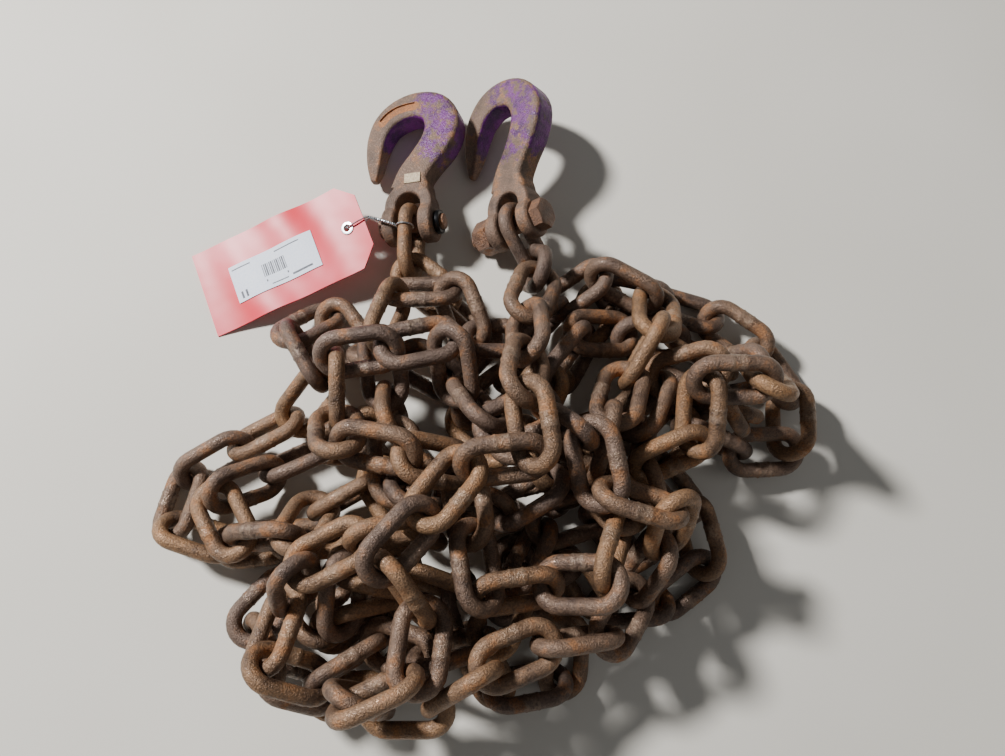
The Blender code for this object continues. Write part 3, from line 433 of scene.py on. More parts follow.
def choices(route, at, links, grid):
    """The best few clear poses of the next link, best first."""
    aim = route[min(at + round(LOOK_AHEAD / ROUTE_STEP), len(route) - 1)]
    middle, axis, side, possible = next_poses(links, aim, grid)
    tips = middle + HALF_LENGTH * axis
    upright = np.abs(np.cross(axis, side)[:, 2])
    possible &= tips[:, 2] >= CROWN_RADIUS * np.maximum(0, upright - UPRIGHT_SLACK) + SECTION_CORNER
    need = min(height_needed(route, at, links), TALLEST_TIP)
    window = route[at:at + round(ROUTE_WINDOW / ROUTE_STEP)]
    stray = np.sqrt(((tips[:, None, :2] - window[None]) ** 2).sum(axis=2)).min(axis=1)
    turn, slope, twist = grid
    score = (middle[:, 2] + tips[:, 2]) / WIRE + STRAY_WEIGHT * (stray / WIRE) ** 2
    score += TIP_NEED_WEIGHT * (np.maximum(0, need - tips[:, 2]) / WIRE) ** 2
    score += TOO_TALL_WEIGHT * (np.maximum(0, tips[:, 2] - TALLEST_TIP) / WIRE) ** 2
    score += TWIST_WEIGHT * twist ** 2 + SLOPE_WEIGHT * slope ** 2 + TURN_WEIGHT * turn ** 2
    order = best_first(score, possible, SCORE_DIGITS)
    found = []
    for k in range(0, len(order), BATCH):
        found += clear_links(order[k:k + BATCH], (middle, axis, side), links)
        if len(found) >= KEPT_CHOICES:
            break
    return found[:KEPT_CHOICES]


def curve_through(points, steps):
    """A Catmull-Rom curve through points of any width, with so many steps between each two."""
    ends = np.vstack([2 * points[0] - points[1], points, 2 * points[-1] - points[-2]])
    fine = []
    for a, b, c, d in zip(ends, ends[1:], ends[2:], ends[3:]):
        for t in np.linspace(0, 1, steps, endpoint=False):
            bend = (2 * a - 5 * b + 4 * c - d) * t * t + (3 * b - a - 3 * c + d) * t ** 3
            fine.append(0.5 * (2 * b + (c - a) * t + bend))
    return np.array(fine + [points[-1]])


def bow_sections(stations_mm):
    """Eight-cornered sections along a solid bow, as (sections, corners, [across, along, up])."""
    stations = curve_through(np.array(stations_mm) * MM, BOW_STEPS)
    forward = unit(np.gradient(stations[:, :2], axis=0))
    sections = []
    for (x, y, out, top), (ahead_x, ahead_y) in zip(stations, forward):
        wide, high = out * BOW_CHAMFER, top * BOW_CHAMFER
        across = np.array([out, out, wide, -wide, -out, -out, -wide, wide])
        up = np.array([-high, high, top, top, high, -high, -top, -top])
        sections.append(np.column_stack([x + across * ahead_y, y - across * ahead_x, up]))
    return np.array(sections)


def fork_outline(*fasteners):
    """The lower corners of a hook's ears and fasteners seen along the hook, as (across, up)."""
    return np.array([(-EAR_FACE, -EAR_RADIUS), (EAR_FACE, -EAR_RADIUS), *fasteners])


LEFT_OUTLINE = fork_outline(
    (-SEAT - PIN_HEAD_LENGTH, -PIN_HEAD_DIAMETER / 2),
    (SEAT + KEEPER_LENGTH, -KEEPER_DIAMETER / 2),
)
RIGHT_OUTLINE = fork_outline(
    (-SEAT - NUT_LENGTH, -NUT_ACROSS_FLATS / math.sqrt(3)),
    (SEAT + BOLT_HEAD_LENGTH, -BOLT_HEAD_ACROSS_FLATS / math.sqrt(3)),
    (-SEAT - NUT_LENGTH - BOLT_STUB_LENGTH, -BOLT_DIAMETER / 2),
)


def resting_height(rolls, outline):
    """The height of a hook's pin when its ears or fasteners lie on the floor, at each roll."""
    across, up = outline.T
    return -(np.outer(np.sin(rolls), across) + np.outer(np.cos(rolls), up)).min(axis=1)


def hook_frame(middle, pin, bow_mm):
    """A hook's frame from its pin: the hook swings down round the pin until its bow meets the floor."""
    level = unit(np.cross(np.array([0.0, 0.0, 1.0]), pin))
    swings = np.arange(0, STEEPEST_HANG, HANG_STEP)[:, None]
    along = np.cos(swings) * level - np.sin(swings) * np.cross(pin, level)
    up = np.cross(pin, along)
    heights = np.array([pin[2] + 0 * along[:, 2], along[:, 2], up[:, 2]])
    lowest = middle[2] + (bow_sections(bow_mm).reshape(-1, 3) @ heights).min(axis=0)
    k = np.flatnonzero(lowest >= 0)[-1]
    return HookFrame(middle, pin, along[k], up[k])


def left_hook_frame():
    along = np.array([math.cos(LEFT_HOOK_HEADING), math.sin(LEFT_HOOK_HEADING), 0.0])
    level = np.array([along[1], -along[0], 0.0])
    pin = level * math.cos(LEFT_HOOK_ROLL) + np.array([0.0, 0.0, math.sin(LEFT_HOOK_ROLL)])
    height = resting_height(np.array([LEFT_HOOK_ROLL]), LEFT_OUTLINE)[0]
    return hook_frame(np.array([LEFT_PIN_MM[0] * MM, LEFT_PIN_MM[1] * MM, height]), pin, LEFT_BOW_MM)


def right_hook_frame(link):
    pin = np.cross(link.axis, link.side)
    pin = pin * math.copysign(1, pin[0])
    return hook_frame(link.middle + bearing_offset(BOLT_DIAMETER / 2) * link.axis, pin, RIGHT_BOW_MM)


def bearing_offset(radius):
    """How far a pin's middle lies from the middle of the link that hangs on it."""
    return HALF_LENGTH - radius - SECTION_CORNER - GAP


def first_link(frame):
    """The link that hangs on the left hook's pin, level and square to it."""
    axis = unit(np.cross(frame.pin, np.array([0.0, 0.0, 1.0])))
    middle = frame.middle + bearing_offset(PIN_DIAMETER / 2) * axis
    return link_at(middle, axis, np.cross(frame.pin, axis))


def closing_choices(route, links):
    """Poses of the last link that let the right hook lie on the floor, best first."""
    middle, axis, side, possible = next_poses(links, route[-1], pose_grid(CLOSING_SLOPES, "xy"))
    pin_axis = np.cross(axis, side)
    pin_axis *= np.sign(pin_axis[:, 0:1])
    roll = np.arcsin(pin_axis[:, 2])
    bolt = middle + bearing_offset(BOLT_DIAMETER / 2) * axis
    rise = bolt[:, 2] - resting_height(roll, RIGHT_OUTLINE)
    swerve = np.arctan2(pin_axis[:, 0], -pin_axis[:, 1]) - RIGHT_HOOK_HEADING
    miss = np.linalg.norm(bolt[:, :2] - np.array(RIGHT_PIN_MM) * MM, axis=1)
    possible &= (rise >= 0) & (rise < CLOSING_PLAY)
    possible &= np.abs(roll - RIGHT_HOOK_ROLL) < CLOSING_ROLL_MISS
    possible &= (np.abs(swerve) < CLOSING_SWERVE) & (miss < CLOSING_MISS)
    score = CLOSING_ROLL_WEIGHT * (roll - RIGHT_HOOK_ROLL) ** 2 + CLOSING_SWERVE_WEIGHT * swerve ** 2
    order = best_first(score, possible, CLOSING_DIGITS)[:CLOSING_TRIES]
    return clear_links(order, (middle, axis, side), links)


def route_mark(route, link, at):
    """The place on the route nearest to a link's far end, not before the last such place."""
    tip = far_end(link)[:2]
    window = route[at:at + round(LONGEST_STEP / ROUTE_STEP)]
    return at + int(np.argmin(((window - tip) ** 2).sum(axis=1)))


def lay_chain(route, first):
    """Lays links along the route from the first one, stepping back where the chain can't go on."""
    grid = pose_grid(SLOPES, "ij")
    links, marks, open_choices = [first], [route_mark(route, first, 0)], []
    longest, stuck, jump = 1, 0, 1
    steps_back = 0
    while steps_back < MOST_STEPS_BACK:
        if len(open_choices) < len(links):
            left = (len(route) - marks[-1]) * ROUTE_STEP
            closing = closing_choices(route, links) if left < CLOSING_REACH else []
            if closing:
                return links + closing[:1]
            open_choices.append(choices(route, marks[-1], links, grid) if left > NEAREST_END else [])
        if open_choices[-1]:
            links.append(open_choices[-1].pop(0))
            marks.append(route_mark(route, links[-1], marks[-1]))
            if len(links) > longest:
                longest, stuck, jump = len(links), 0, 1
            continue
        if len(links) == 1:
            break
        steps_back += 1
        stuck += 1
        depth = 1
        if stuck > STUCK_STEPS:
            stuck, jump = 0, jump + LONGER_JUMP
            depth = min(jump, len(links) - 1)
        del open_choices[-depth:], links[-depth:], marks[-depth:]
    return links


def as_matrix(frame):
    """The placing matrix of a hook's frame."""
    matrix = Matrix(np.column_stack([frame.pin, frame.along, frame.up]).tolist()).to_4x4()
    matrix.translation = frame.middle.tolist()
    return matrix


def tag_height(place):
    """How high the card's lower face lies at a place along its length."""
    share = place / TAG_LENGTH
    return TAG_RISE * share ** TAG_RISE_POWER + TAG_WAVE * math.sin(2 * math.pi * share) * share


def tag_points(places):
    """How far along and how high the card's middle line lies at these places of its true length."""
    along, points, last = 0.0, [], None
    for k in range(TAG_FINE + 1):
        place = TAG_LENGTH * k / TAG_FINE
        height = tag_height(place) + TAG_THICKNESS / 2
        if last is not None:
            along += math.sqrt(max((place - last[0]) ** 2 - (height - last[1]) ** 2, 0))
        points.append((along, height))
        last = (place, height)
    marks = np.linspace(0, TAG_LENGTH, TAG_FINE + 1)
    alongs = np.interp(places, marks, [p[0] for p in points])
    heights = np.interp(places, marks, [p[1] for p in points])
    return alongs, heights


def tag_frame():
    """The card's frame, from its far end on the floor. Its eyelet lies beside the left hook."""
    reach = tag_points(np.array([TAG_LENGTH - EYELET_FROM_END]))[0][0]
    x, y = (pin + offset for pin, offset in zip(LEFT_PIN_MM, EYELET_FROM_PIN_MM))
    turn = Matrix.Rotation(TAG_HEADING, 4, "Z")
    return Matrix.Translation((x * MM, y * MM, 0)) @ turn @ Matrix.Translation((-reach, 0, 0))


def eyelet_frame():
    """A frame at the eyelet with X along the card's normal and Y along the card."""
    place = TAG_LENGTH - EYELET_FROM_END
    alongs, heights = tag_points(np.array([place - MM, place, place + MM]))
    lean = math.atan2(heights[2] - heights[0], alongs[2] - alongs[0])
    normal = Vector((-math.sin(lean), 0, math.cos(lean)))
    along = Vector((math.cos(lean), 0, math.sin(lean)))
    local = Matrix((normal, along, normal.cross(along))).transposed().to_4x4()
    local.translation = Vector((alongs[1], 0, heights[1]))
    return tag_frame() @ local


def linear(colour):
    """A hex sRGB colour as linear values."""
    parts = [int(colour[k:k + 2], 16) / 255 for k in (1, 3, 5)]
    return [c / 12.92 if c <= 0.04045 else ((c + 0.055) / 1.055) ** 2.4 for c in parts] + [1.0]


def feed(tree, node, inputs):
    """Sets a node's inputs to values or hex colours, or links them to the sockets that feed them."""
    for key, value in inputs.items():
        if isinstance(value, bpy.types.NodeSocket):
            tree.links.new(value, node.inputs[key])
        else:
            node.inputs[key].default_value = linear(value) if isinstance(value, str) else value


def add(tree, kind, output, inputs=(), **settings):
    """An output of a new node that has these inputs and settings."""
    node = tree.nodes.new(kind)
    for name, value in settings.items():
        setattr(node, name, value)
    feed(tree, node, dict(inputs))
    return node.outputs[output]


def material(name, look):
    """A material from a function that gives its shader's inputs, from its tree and its object coordinates."""
    made = bpy.data.materials.new(name)
    made.use_nodes = True
    tree = made.node_tree
    feed(tree, tree.nodes["Principled BSDF"], look(tree, add(tree, "ShaderNodeTexCoord", "Object")))
    return made


def maths(tree, operation, *values):
    return add(tree, "ShaderNodeMath", 0, dict(enumerate(values)), operation=operation)


def mixed(tree, share, first, second):
    """One colour over another by a mask."""
    return add(tree, "ShaderNodeMix", 2, {0: share, 6: first, 7: second}, data_type="RGBA")


def attribute(tree, name):
    """One of the piece's own attributes."""
    return add(tree, "ShaderNodeAttribute", "Fac", attribute_name=name)


def noise(tree, place, size, detail, roughness=0.5):
    """Noise whose patches are about this many metres apart."""
    inputs = {"Vector": place, "Scale": 1 / size, "Detail": detail, "Roughness": roughness}
    return add(tree, "ShaderNodeTexNoise", "Fac", inputs)


def stretch(tree, value, low, high, to_low=0.0, to_high=1.0, curve="LINEAR"):
    """A value's span from low to high, stretched over another span."""
    inputs = {"Value": value, "From Min": low, "From Max": high, "To Min": to_low, "To Max": to_high}
    return add(tree, "ShaderNodeMapRange", "Result", inputs, interpolation_type=curve)


def patches(tree, place, size, low, high, detail=4.0, roughness=0.6):
    """A mask of ragged patches, black below one noise level and white above another."""
    return stretch(tree, noise(tree, place, size, detail, roughness), low, high, curve="SMOOTHSTEP")


def bumped(tree, height, depth):
    return add(tree, "ShaderNodeBump", "Normal", {"Height": height, "Distance": depth, "Strength": 0.9})


def rust(tree, place, dark, brown, bright, depth):
    """Rusted steel: dark scale, brown rust over it, loose bright rust in patches, and dark specks."""
    broad = patches(tree, place, 30 * MM, 0.3, 0.58)
    fine = patches(tree, place, 4.0 * MM, 0.34, 0.64, detail=7.0, roughness=0.7)
    loose = patches(tree, place, 15 * MM, 0.5, 0.68, detail=6.0, roughness=0.7)
    grain = patches(tree, place, 1.1 * MM, 0.36, 0.64, detail=3.0)
    colour = mixed(tree, broad, dark, brown)
    for mask, share, over in ((fine, 0.6, brown), (loose, 0.75, bright), (grain, 0.5, dark)):
        colour = mixed(tree, maths(tree, "MULTIPLY", mask, share), colour, over)
    rough = maths(tree, "MAXIMUM", stretch(tree, fine, 0, 1, 0.3, 0.52), loose)
    rough = maths(tree, "MINIMUM", rough, 0.7)
    height = maths(tree, "MULTIPLY_ADD", fine, 0.4, grain)
    return {"Base Color": colour, "Roughness": rough, "Normal": bumped(tree, height, depth)}


def chain_steel(tree, place):
    """Welded carbon steel chain, left to rust outdoors. It gives dark scale, brown rust and a dull sheen."""
    brown = mixed(tree, attribute(tree, "rusted"), "#7B6659", "#A37D59")
    look = rust(tree, place, "#41322B", brown, "#B0784A", 0.25 * MM)
    # The weld band is painted a lighter, glossier brown: partly bare weld flash, partly a painted highlight
    # standing for the glints on the weld.
    weld_flash_and_glint = maths(tree, "MULTIPLY", attribute(tree, "welded"), patches(tree, place, 2.5 * MM, 0.4, 0.6))
    colour = mixed(tree, maths(tree, "MULTIPLY", weld_flash_and_glint, 0.42), look["Base Color"], "#9C8672")
    rough = stretch(tree, weld_flash_and_glint, 0, 1, look["Roughness"], 0.28)
    return {**look, "Base Color": colour, "Roughness": rough, "Metallic": 0.35}


def fastener_steel(tree, place):
    """Plain steel bolt, nut and pin, rusted all over. It gives a dry, redder brown."""
    return {**rust(tree, place, "#4A372E", "#856450", "#AC7345", 0.3 * MM), "Metallic": 0.25}


def hook_paint(tree, place):
    """Purple enamel over forged steel, worn through to rust. It stays where the paint attribute is high."""
    painted = attribute(tree, "paint")
    brown = mixed(tree, attribute(tree, "rusted"), "#806655", "#B06F3C")
    look = rust(tree, place, "#453830", brown, "#A8744A", 0.22 * MM)
    bare = mixed(tree, patches(tree, place, 2 * MM, 0.35, 0.65), "#B39C7E", "#CDBB9E")
    steel = mixed(tree, attribute(tree, "rubbed"), look["Base Color"], bare)
    ragged = stretch(tree, noise(tree, place, 9 * MM, 8.0, 0.74), 0.28, 0.72)
    mask = stretch(tree, maths(tree, "ADD", painted, ragged), 0.92, 1.16, curve="SMOOTHSTEP")
    tone = patches(tree, place, 12 * MM, 0.35, 0.65, detail=6.0, roughness=0.7)
    thick = stretch(tree, painted, 0.45, 0.8, curve="SMOOTHSTEP")
    thin, full = mixed(tree, tone, "#45264A", "#672F70"), mixed(tree, tone, "#3F1350", "#7A1D86")
    enamel = mixed(tree, thick, thin, full)
    colour, rough = mixed(tree, mask, steel, enamel), stretch(tree, mask, 0, 1, 0.6, 0.36)
    return {**look, "Base Color": colour, "Roughness": rough, "Metallic": 0.15}


def keeper_steel(tree, place):
    """Oil-blackened spring steel. It gives a near-black face with a hard highlight."""
    colour = mixed(tree, patches(tree, place, 4 * MM, 0.55, 0.75), "#1B1B1D", "#4C3A30")
    return {"Base Color": colour, "Roughness": 0.33, "Metallic": 0.7}


def coated_card(tree, place):
    """Card coated with red film. It gives a pink-red gloss with soft dents."""
    colour = mixed(tree, patches(tree, place, 45 * MM, 0.3, 0.7, detail=1.0), "#E2152F", "#EA2C46")
    dents = bumped(tree, noise(tree, place, 22 * MM, 1.0), 0.3 * MM)
    return {"Base Color": colour, "Roughness": 0.34, "Specular IOR Level": 0.3, "Normal": dents}


def label_paper(tree, place):
    """Matt white label paper with faint fibre."""
    colour = mixed(tree, patches(tree, place, 1.5 * MM, 0.3, 0.7), "#DEE5F6", "#EAEFFA")
    return {"Base Color": colour, "Roughness": 0.55}


def label_ink(tree, place):
    """Thermal print, a flat grey that lies in the paper."""
    colour = mixed(tree, patches(tree, place, 3 * MM, 0.3, 0.75), "#43464F", "#6E727D")
    return {"Base Color": colour, "Roughness": 0.6}


def zinc_wire(tree, place):
    """Galvanised iron wire. It gives a bright grey with a soft spangle."""
    dull = patches(tree, place, 3 * MM, 0.4, 0.7)
    colour, rough = mixed(tree, dull, "#D4D7DA", "#AEB2B6"), stretch(tree, dull, 0, 1, 0.25, 0.42)
    return {"Base Color": colour, "Roughness": rough, "Metallic": 1.0}


def studio_floor(tree, place):
    """A pale, matt floor that stands in for the ground."""
    colour = mixed(tree, patches(tree, place, 300 * MM, 0.3, 0.7, detail=2.0), "#DAD5CA", "#E1DCD2")
    return {"Base Color": colour, "Roughness": 0.85}


# How fine the pieces are drawn.
WIRE_SIDES = 16
CROWN_STEPS = 12
ROUND_SIDES = 40
LATHE_SIDES = 64
CURVE_STEPS = 4
FORK_STEPS = 8
SHEET_CELL = 2 * MM
DOUBLED = 0.002 * MM
SMOOTH_ANGLE = math.radians(40)

# Forgings are drawn square with rounded corners, joined, remeshed at their grain and eased. Their ears'
# rims are drawn in to a share of the ears' radius.
FORGING_CORNER = 0.34
FORGING_CORNER_STEPS = 4
FORGING_GRAIN = 0.7 * MM
FORGING_EASE = 4
FORGING_EASE_FACTOR = 0.5
EAR_RIM = 0.86

# Where rings lie along a link's straight side, as shares of its half. The weld is a thicker band at the
# middle, with a ridge of flash at each end, each as (reach, swell). Every third link is turned over.
SIDE_MARKS = (-1.0, -0.44, -0.34, -0.24, 0.0, 0.24, 0.34, 0.44, 1.0)
WELD_BAND = (0.3, 1.035)
WELD_RIDGES = (0.4, 1.065)
TURNED_OVER = 3

# How loose rust is shared out among the links.
RUST_SEED = 5
RUST_POWER = 1.4

# Left hook: a bare raised size plate on the shank, and a bare sunk panel round the crown, in millimetres.
SIZE_PLATE_MM = {
    "left": -3.0, "right": 9.2, "along": 32.5, "half width": 3.8, "half height": 1.0, "middle": 9.3,
}
SUNK_PANEL_MM = [(-23.5, 82.5), (-19.0, 87.0), (-12.5, 90.3), (-5.0, 91.6), (2.5, 91.8)]
SUNK_PANEL_HALF_WIDTH_MM = 3.2
SUNK_PANEL_FLOOR_MM = 8.7
SUNK_PANEL_SLOPE = 0.04
SUNK_PANEL_REACH = 2 * MM

# Fasteners: how far their edges are eased, the bolt's thread, and the hexagons' turned corners.
PIN_EASE = 0.8 * MM
THREAD_DEPTH = 0.75 * MM
THREAD_PITCH = 1.95 * MM
HEXAGON_FACE = 0.97
HEXAGON_OUTSIDE = 1.02
NUT_MOUTH = 1.2 * MM

# The soft waves of the card: how high, how many along it, and how far they lean across it.
CARD_WAVE = 2.2 * MM
CARD_WAVES = 2.3
CARD_WAVE_LEAN = 0.45

# What is printed on the label: bars in millimetres, as (along, across, length, width), from its middle.
PRINTED_BARS_MM = [(-9.0 + 1.45 * k, 0.6, 0.5 + 0.3 * (k * 7 % 3), 10.0) for k in range(13)] + [
    (-24.0, 11.2, 15.0, 0.8), (13.0, 11.2, 20.0, 0.8), (19.0, -10.8, 16.0, 1.5), (1.0, -11.4, 13.0, 0.8),
    (-29.0, -9.6, 1.6, 5.4), (-25.4, -9.6, 1.6, 5.4), (-8.2, -7.6, 1.0, 1.6), (8.2, -7.6, 1.0, 1.6),
]
PRINT_THICKNESS = 0.03 * MM

# The tie wire: two strands twisted round each other, and a collar round the link.
TWIST_STEPS = 44
TWIST_TURNS = 7
STRAND_OFFSET = 0.55 * TIE_WIRE
COLLAR_STEPS = 24
WIRE_CURVE_STEPS = 3

# The camera looks at the middle of the laid route's plan from its place in the photograph.
CAMERA_MM = (0.0, -130.6, 524.0)
FOCAL_PX = 760
PHOTO_WIDTH_PX = 1005
SENSOR_MM = 36.0
NEAREST_SEEN = 0.01
FLOOR_SIZE = 6.0
SKY = (0.92, 0.96, 1.0, 1)
SKY_STRENGTH = 0.11
LIGHTS = [
    ("key", (-1.45, 0.8, 1.5), 0.3, 98),
    ("fill", (1.2, -0.6, 1.5), 1.6, 3),
]


def alone(piece):
    """Selects one piece alone and makes it the active one."""
    bpy.ops.object.select_all(action="DESELECT")
    piece.select_set(True)
    bpy.context.view_layer.objects.active = piece


def open_edit(piece):
    """Opens one piece alone in edit mode with everything on it selected."""
    alone(piece)
    bpy.ops.object.mode_set(mode="EDIT")
    bpy.ops.mesh.select_mode(type="VERT")
    bpy.ops.mesh.select_all(action="SELECT")


def close_edit():
    bpy.ops.object.mode_set(mode="OBJECT")


def pick(test):
    """Selects just the corners of the open piece that pass a test."""
    bpy.ops.mesh.select_all(action="DESELECT")
    form = bmesh.from_edit_mesh(bpy.context.object.data)
    for corner in form.verts:
        corner.select_set(test(corner.co))
    form.select_flush_mode()
    bmesh.update_edit_mesh(bpy.context.object.data)


def make_whole():
    """Merges doubled corners of the open piece and turns its faces outwards."""
    bpy.ops.mesh.select_all(action="SELECT")
    bpy.ops.mesh.remove_doubles(threshold=DOUBLED)
    bpy.ops.mesh.normals_make_consistent(inside=False)


def settle(piece):
    """Puts a piece's place, turn and size into its mesh."""
    alone(piece)
    bpy.ops.object.transform_apply(location=True, rotation=True, scale=True)


def with_modifier(piece, kind, **settings):
    """Adds a modifier and applies it."""
    alone(piece)
    change = piece.modifiers.new(kind.title(), kind)
    for name, value in settings.items():
        setattr(change, name, value)
    bpy.ops.object.modifier_apply(modifier=change.name)


def joined(name, pieces):
    """Joins pieces into one mesh."""
    alone(pieces[0])
    for piece in pieces:
        piece.select_set(True)
    if len(pieces) > 1:
        bpy.ops.object.join()
    pieces[0].name = pieces[0].data.name = name
    return pieces[0]


def cut_away(piece, tool, operation="DIFFERENCE"):
    """A Boolean with another piece, which is used up."""
    with_modifier(piece, "BOOLEAN", operation=operation, object=tool, solver="EXACT")
    bpy.data.objects.remove(tool, do_unlink=True)


def read_corners(piece, kind="co"):
    """A piece's corner places or normals, one to a row."""
    values = np.empty(len(piece.data.vertices) * 3)
    piece.data.vertices.foreach_get(kind, values)
    return values.reshape(-1, 3)


def write_attribute(piece, name, values):
    """Gives a piece an attribute of its own, with a value for each corner."""
    layer = piece.data.attributes.new(name, "FLOAT", "POINT")
    layer.data.foreach_set("value", np.asarray(values, np.float32))


def drawn_bar(name, stations, sides=ROUND_SIDES, hollow=False, squared=False):
    """A bar drawn out station by station in its own XY plane, from (x, y, heading, half width, half height).

    It is round, or has flat faces and rounded corners where it is squared. A hollow bar has open ends,
    which are merged where its last station is its first.
    """
    x, y, heading, wide, high = stations[0]
    across = Vector((math.sin(heading), -math.cos(heading), 0))
    forward = Vector((math.cos(heading), math.sin(heading), 0))
    turn = Matrix((across, Vector((0, 0, 1)), forward)).transposed().to_euler()
    start = {"location": (x, y, 0), "rotation": turn}
    if squared:
        bpy.ops.mesh.primitive_plane_add(size=2.0, **start)
    else:
        end = "NOTHING" if hollow else "NGON"
        bpy.ops.mesh.primitive_circle_add(vertices=sides, radius=1.0, fill_type=end, **start)
    bar = bpy.context.object
    bar.name = bar.data.name = name
    settle(bar)
    open_edit(bar)
    if squared:
        bpy.ops.mesh.bevel(offset=FORGING_CORNER, segments=FORGING_CORNER_STEPS, affect="VERTICES")
        bpy.ops.mesh.select_all(action="SELECT")
    bpy.ops.transform.resize(value=(wide, wide, high), center_override=(x, y, 0))
    for station in stations[1:]:
        place = (station[0], station[1], 0)
        step = (place[0] - x, place[1] - y, 0)
        bpy.ops.mesh.extrude_region_move(TRANSFORM_OT_translate={"value": step})
        if station[2] != heading:
            bpy.ops.transform.rotate(value=heading - station[2], orient_axis="Z", center_override=place)
        if station[3:] != (wide, high):
            size = (station[3] / wide, station[3] / wide, station[4] / high)
            bpy.ops.transform.resize(value=size, center_override=place)
        x, y, heading, wide, high = station
    make_whole()
    close_edit()
    return bar


def turned_bar(name, profile, sides=ROUND_SIDES, hollow=False):
    """A bar turned about the X axis, through (place along X, radius) pairs."""
    return drawn_bar(name, [(x, 0, 0, radius, radius) for x, radius in profile], sides, hollow)


def finish_piece(piece, place, look, node):
    piece.data.transform(place)
    alone(piece)
    bpy.ops.object.shade_smooth_by_angle(angle=SMOOTH_ANGLE)
    piece.data.materials.clear()
    piece.data.materials.append(look)
    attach(piece, "root")
    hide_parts(node)


def model_link():
    """One link: a round section drawn along a side, spun round a crown, and so back to its start.

    Its weld is in the middle of one side, where its welded attribute is 1.
    """
    straight = HALF_LENGTH - CROWN_RADIUS
    bpy.ops.mesh.primitive_circle_add(vertices=WIRE_SIDES, radius=WIRE / 2,
                                      location=(-straight, -CROWN_RADIUS, 0), rotation=(0, math.pi / 2, 0))
    link = bpy.context.object
    settle(link)
    open_edit(link)
    for sign in (1, -1):
        for mark, after in zip(SIDE_MARKS, SIDE_MARKS[1:]):
            step = (sign * (after - mark) * straight, 0, 0)
            bpy.ops.mesh.extrude_region_move(TRANSFORM_OT_translate={"value": step})
        bpy.ops.mesh.spin(steps=CROWN_STEPS, angle=-math.pi, center=(sign * straight, 0, 0), axis=(0, 0, 1))
    make_whole()
    end = WELD_RIDGES[0] * straight
    for start, swell in ((-1, WELD_BAND[1]), (WELD_BAND[0] * straight, WELD_RIDGES[1])):
        pick(lambda co: start < abs(co.x) < end and co.y > 0)
        bpy.ops.transform.resize(value=(1, swell, swell), center_override=(0, CROWN_RADIUS, 0))
    close_edit()
    x, y, _ = read_corners(link).T
    write_attribute(link, "welded", (np.abs(x) < end) & (y > 0))
    return link


def dress_chain(links, shift, steel):
    """A smooth link on every solid one, joined by runs as the solids are.

    Each link's own share of loose rust is in its rusted attribute.
    """
    model = model_link()
    shares = np.random.default_rng(RUST_SEED).random(len(links)) ** RUST_POWER
    for start in range(0, len(links), RUN_LINKS):
        copies = []
        for k, link in enumerate(links[start:start + RUN_LINKS], start):
            copy = model.copy()
            copy.data = model.data.copy()
            bpy.context.collection.objects.link(copy)
            write_attribute(copy, "rusted", np.full(len(copy.data.vertices), shares[k]))
            side = link.side if (k + 1) % TURNED_OVER else -link.side
            matrix = Matrix(np.column_stack([link.axis, side, np.cross(link.axis, side)]).tolist()).to_4x4()
            matrix.translation = Vector(link.middle) + shift
            copy.data.transform(matrix)
            copies.append(copy)
        number = start // RUN_LINKS + 1
        run = joined(f"rusty_chain_{number:02d}", copies)
        finish_piece(run, Matrix(), steel, f"chain_run_{number:02d}")
    bpy.data.objects.remove(model, do_unlink=True)


def along_curve(points_mm):
    """A smooth curve through points in millimetres, with its heading at each, as rows in metres."""
    places = curve_through(np.array(points_mm) * MM, CURVE_STEPS)
    ahead = np.gradient(places[:, :2], axis=0)
    headings = np.unwrap(np.arctan2(ahead[:, 1], ahead[:, 0]))
    return [(*place[:2], heading, *place[2:]) for place, heading in zip(places.tolist(), headings.tolist())]


def fork_stations():
    """The fork's stations, from one ear over the crown to the other."""
    middle = (EAR_GAP + EAR_WIDTH) / 2
    half = (EAR_WIDTH / 2, FORK_HALF_THICKNESS)
    stations = [(-middle, 0.0, math.pi / 2, *half)]
    for k in range(2 * FORK_STEPS + 1):
        turn = math.pi * (1 - k / (2 * FORK_STEPS))
        x, y = middle * math.cos(turn), FORK_REACH + middle * math.sin(turn)
        stations.append((x, y, turn - math.pi / 2, *half))
    return stations + [(middle, 0.0, -math.pi / 2, *half)]


def model_hook(name, bow_mm, pin_diameter):
    """One forging in its own frame: bow, fork and ears joined, then eased as a forging is."""
    hook = drawn_bar(name, along_curve(bow_mm), squared=True)
    parts = [drawn_bar("fork", fork_stations(), squared=True)]
    inner = EAR_GAP / 2 - EAR_BOSS
    for sign in (-1, 1):
        profile = [(inner, EAR_RADIUS * EAR_RIM), (inner + EAR_EASE, EAR_RADIUS),
                   (EAR_FACE - EAR_EASE, EAR_RADIUS), (EAR_FACE, EAR_RADIUS * EAR_RIM)]
        parts.append(turned_bar("ear", [(sign * x, radius) for x, radius in profile]))
    for part in parts:
        cut_away(hook, part, "UNION")
    reach = EAR_GAP + 2 * EAR_WIDTH
    radius = pin_diameter / 2 + PIN_HOLE_CLEARANCE
    cut_away(hook, turned_bar("pin_hole", [(-reach, radius), (reach, radius)]))
    with_modifier(hook, "REMESH", mode="VOXEL", voxel_size=FORGING_GRAIN)
    with_modifier(hook, "SMOOTH", factor=FORGING_EASE_FACTOR, iterations=FORGING_EASE)
    return hook


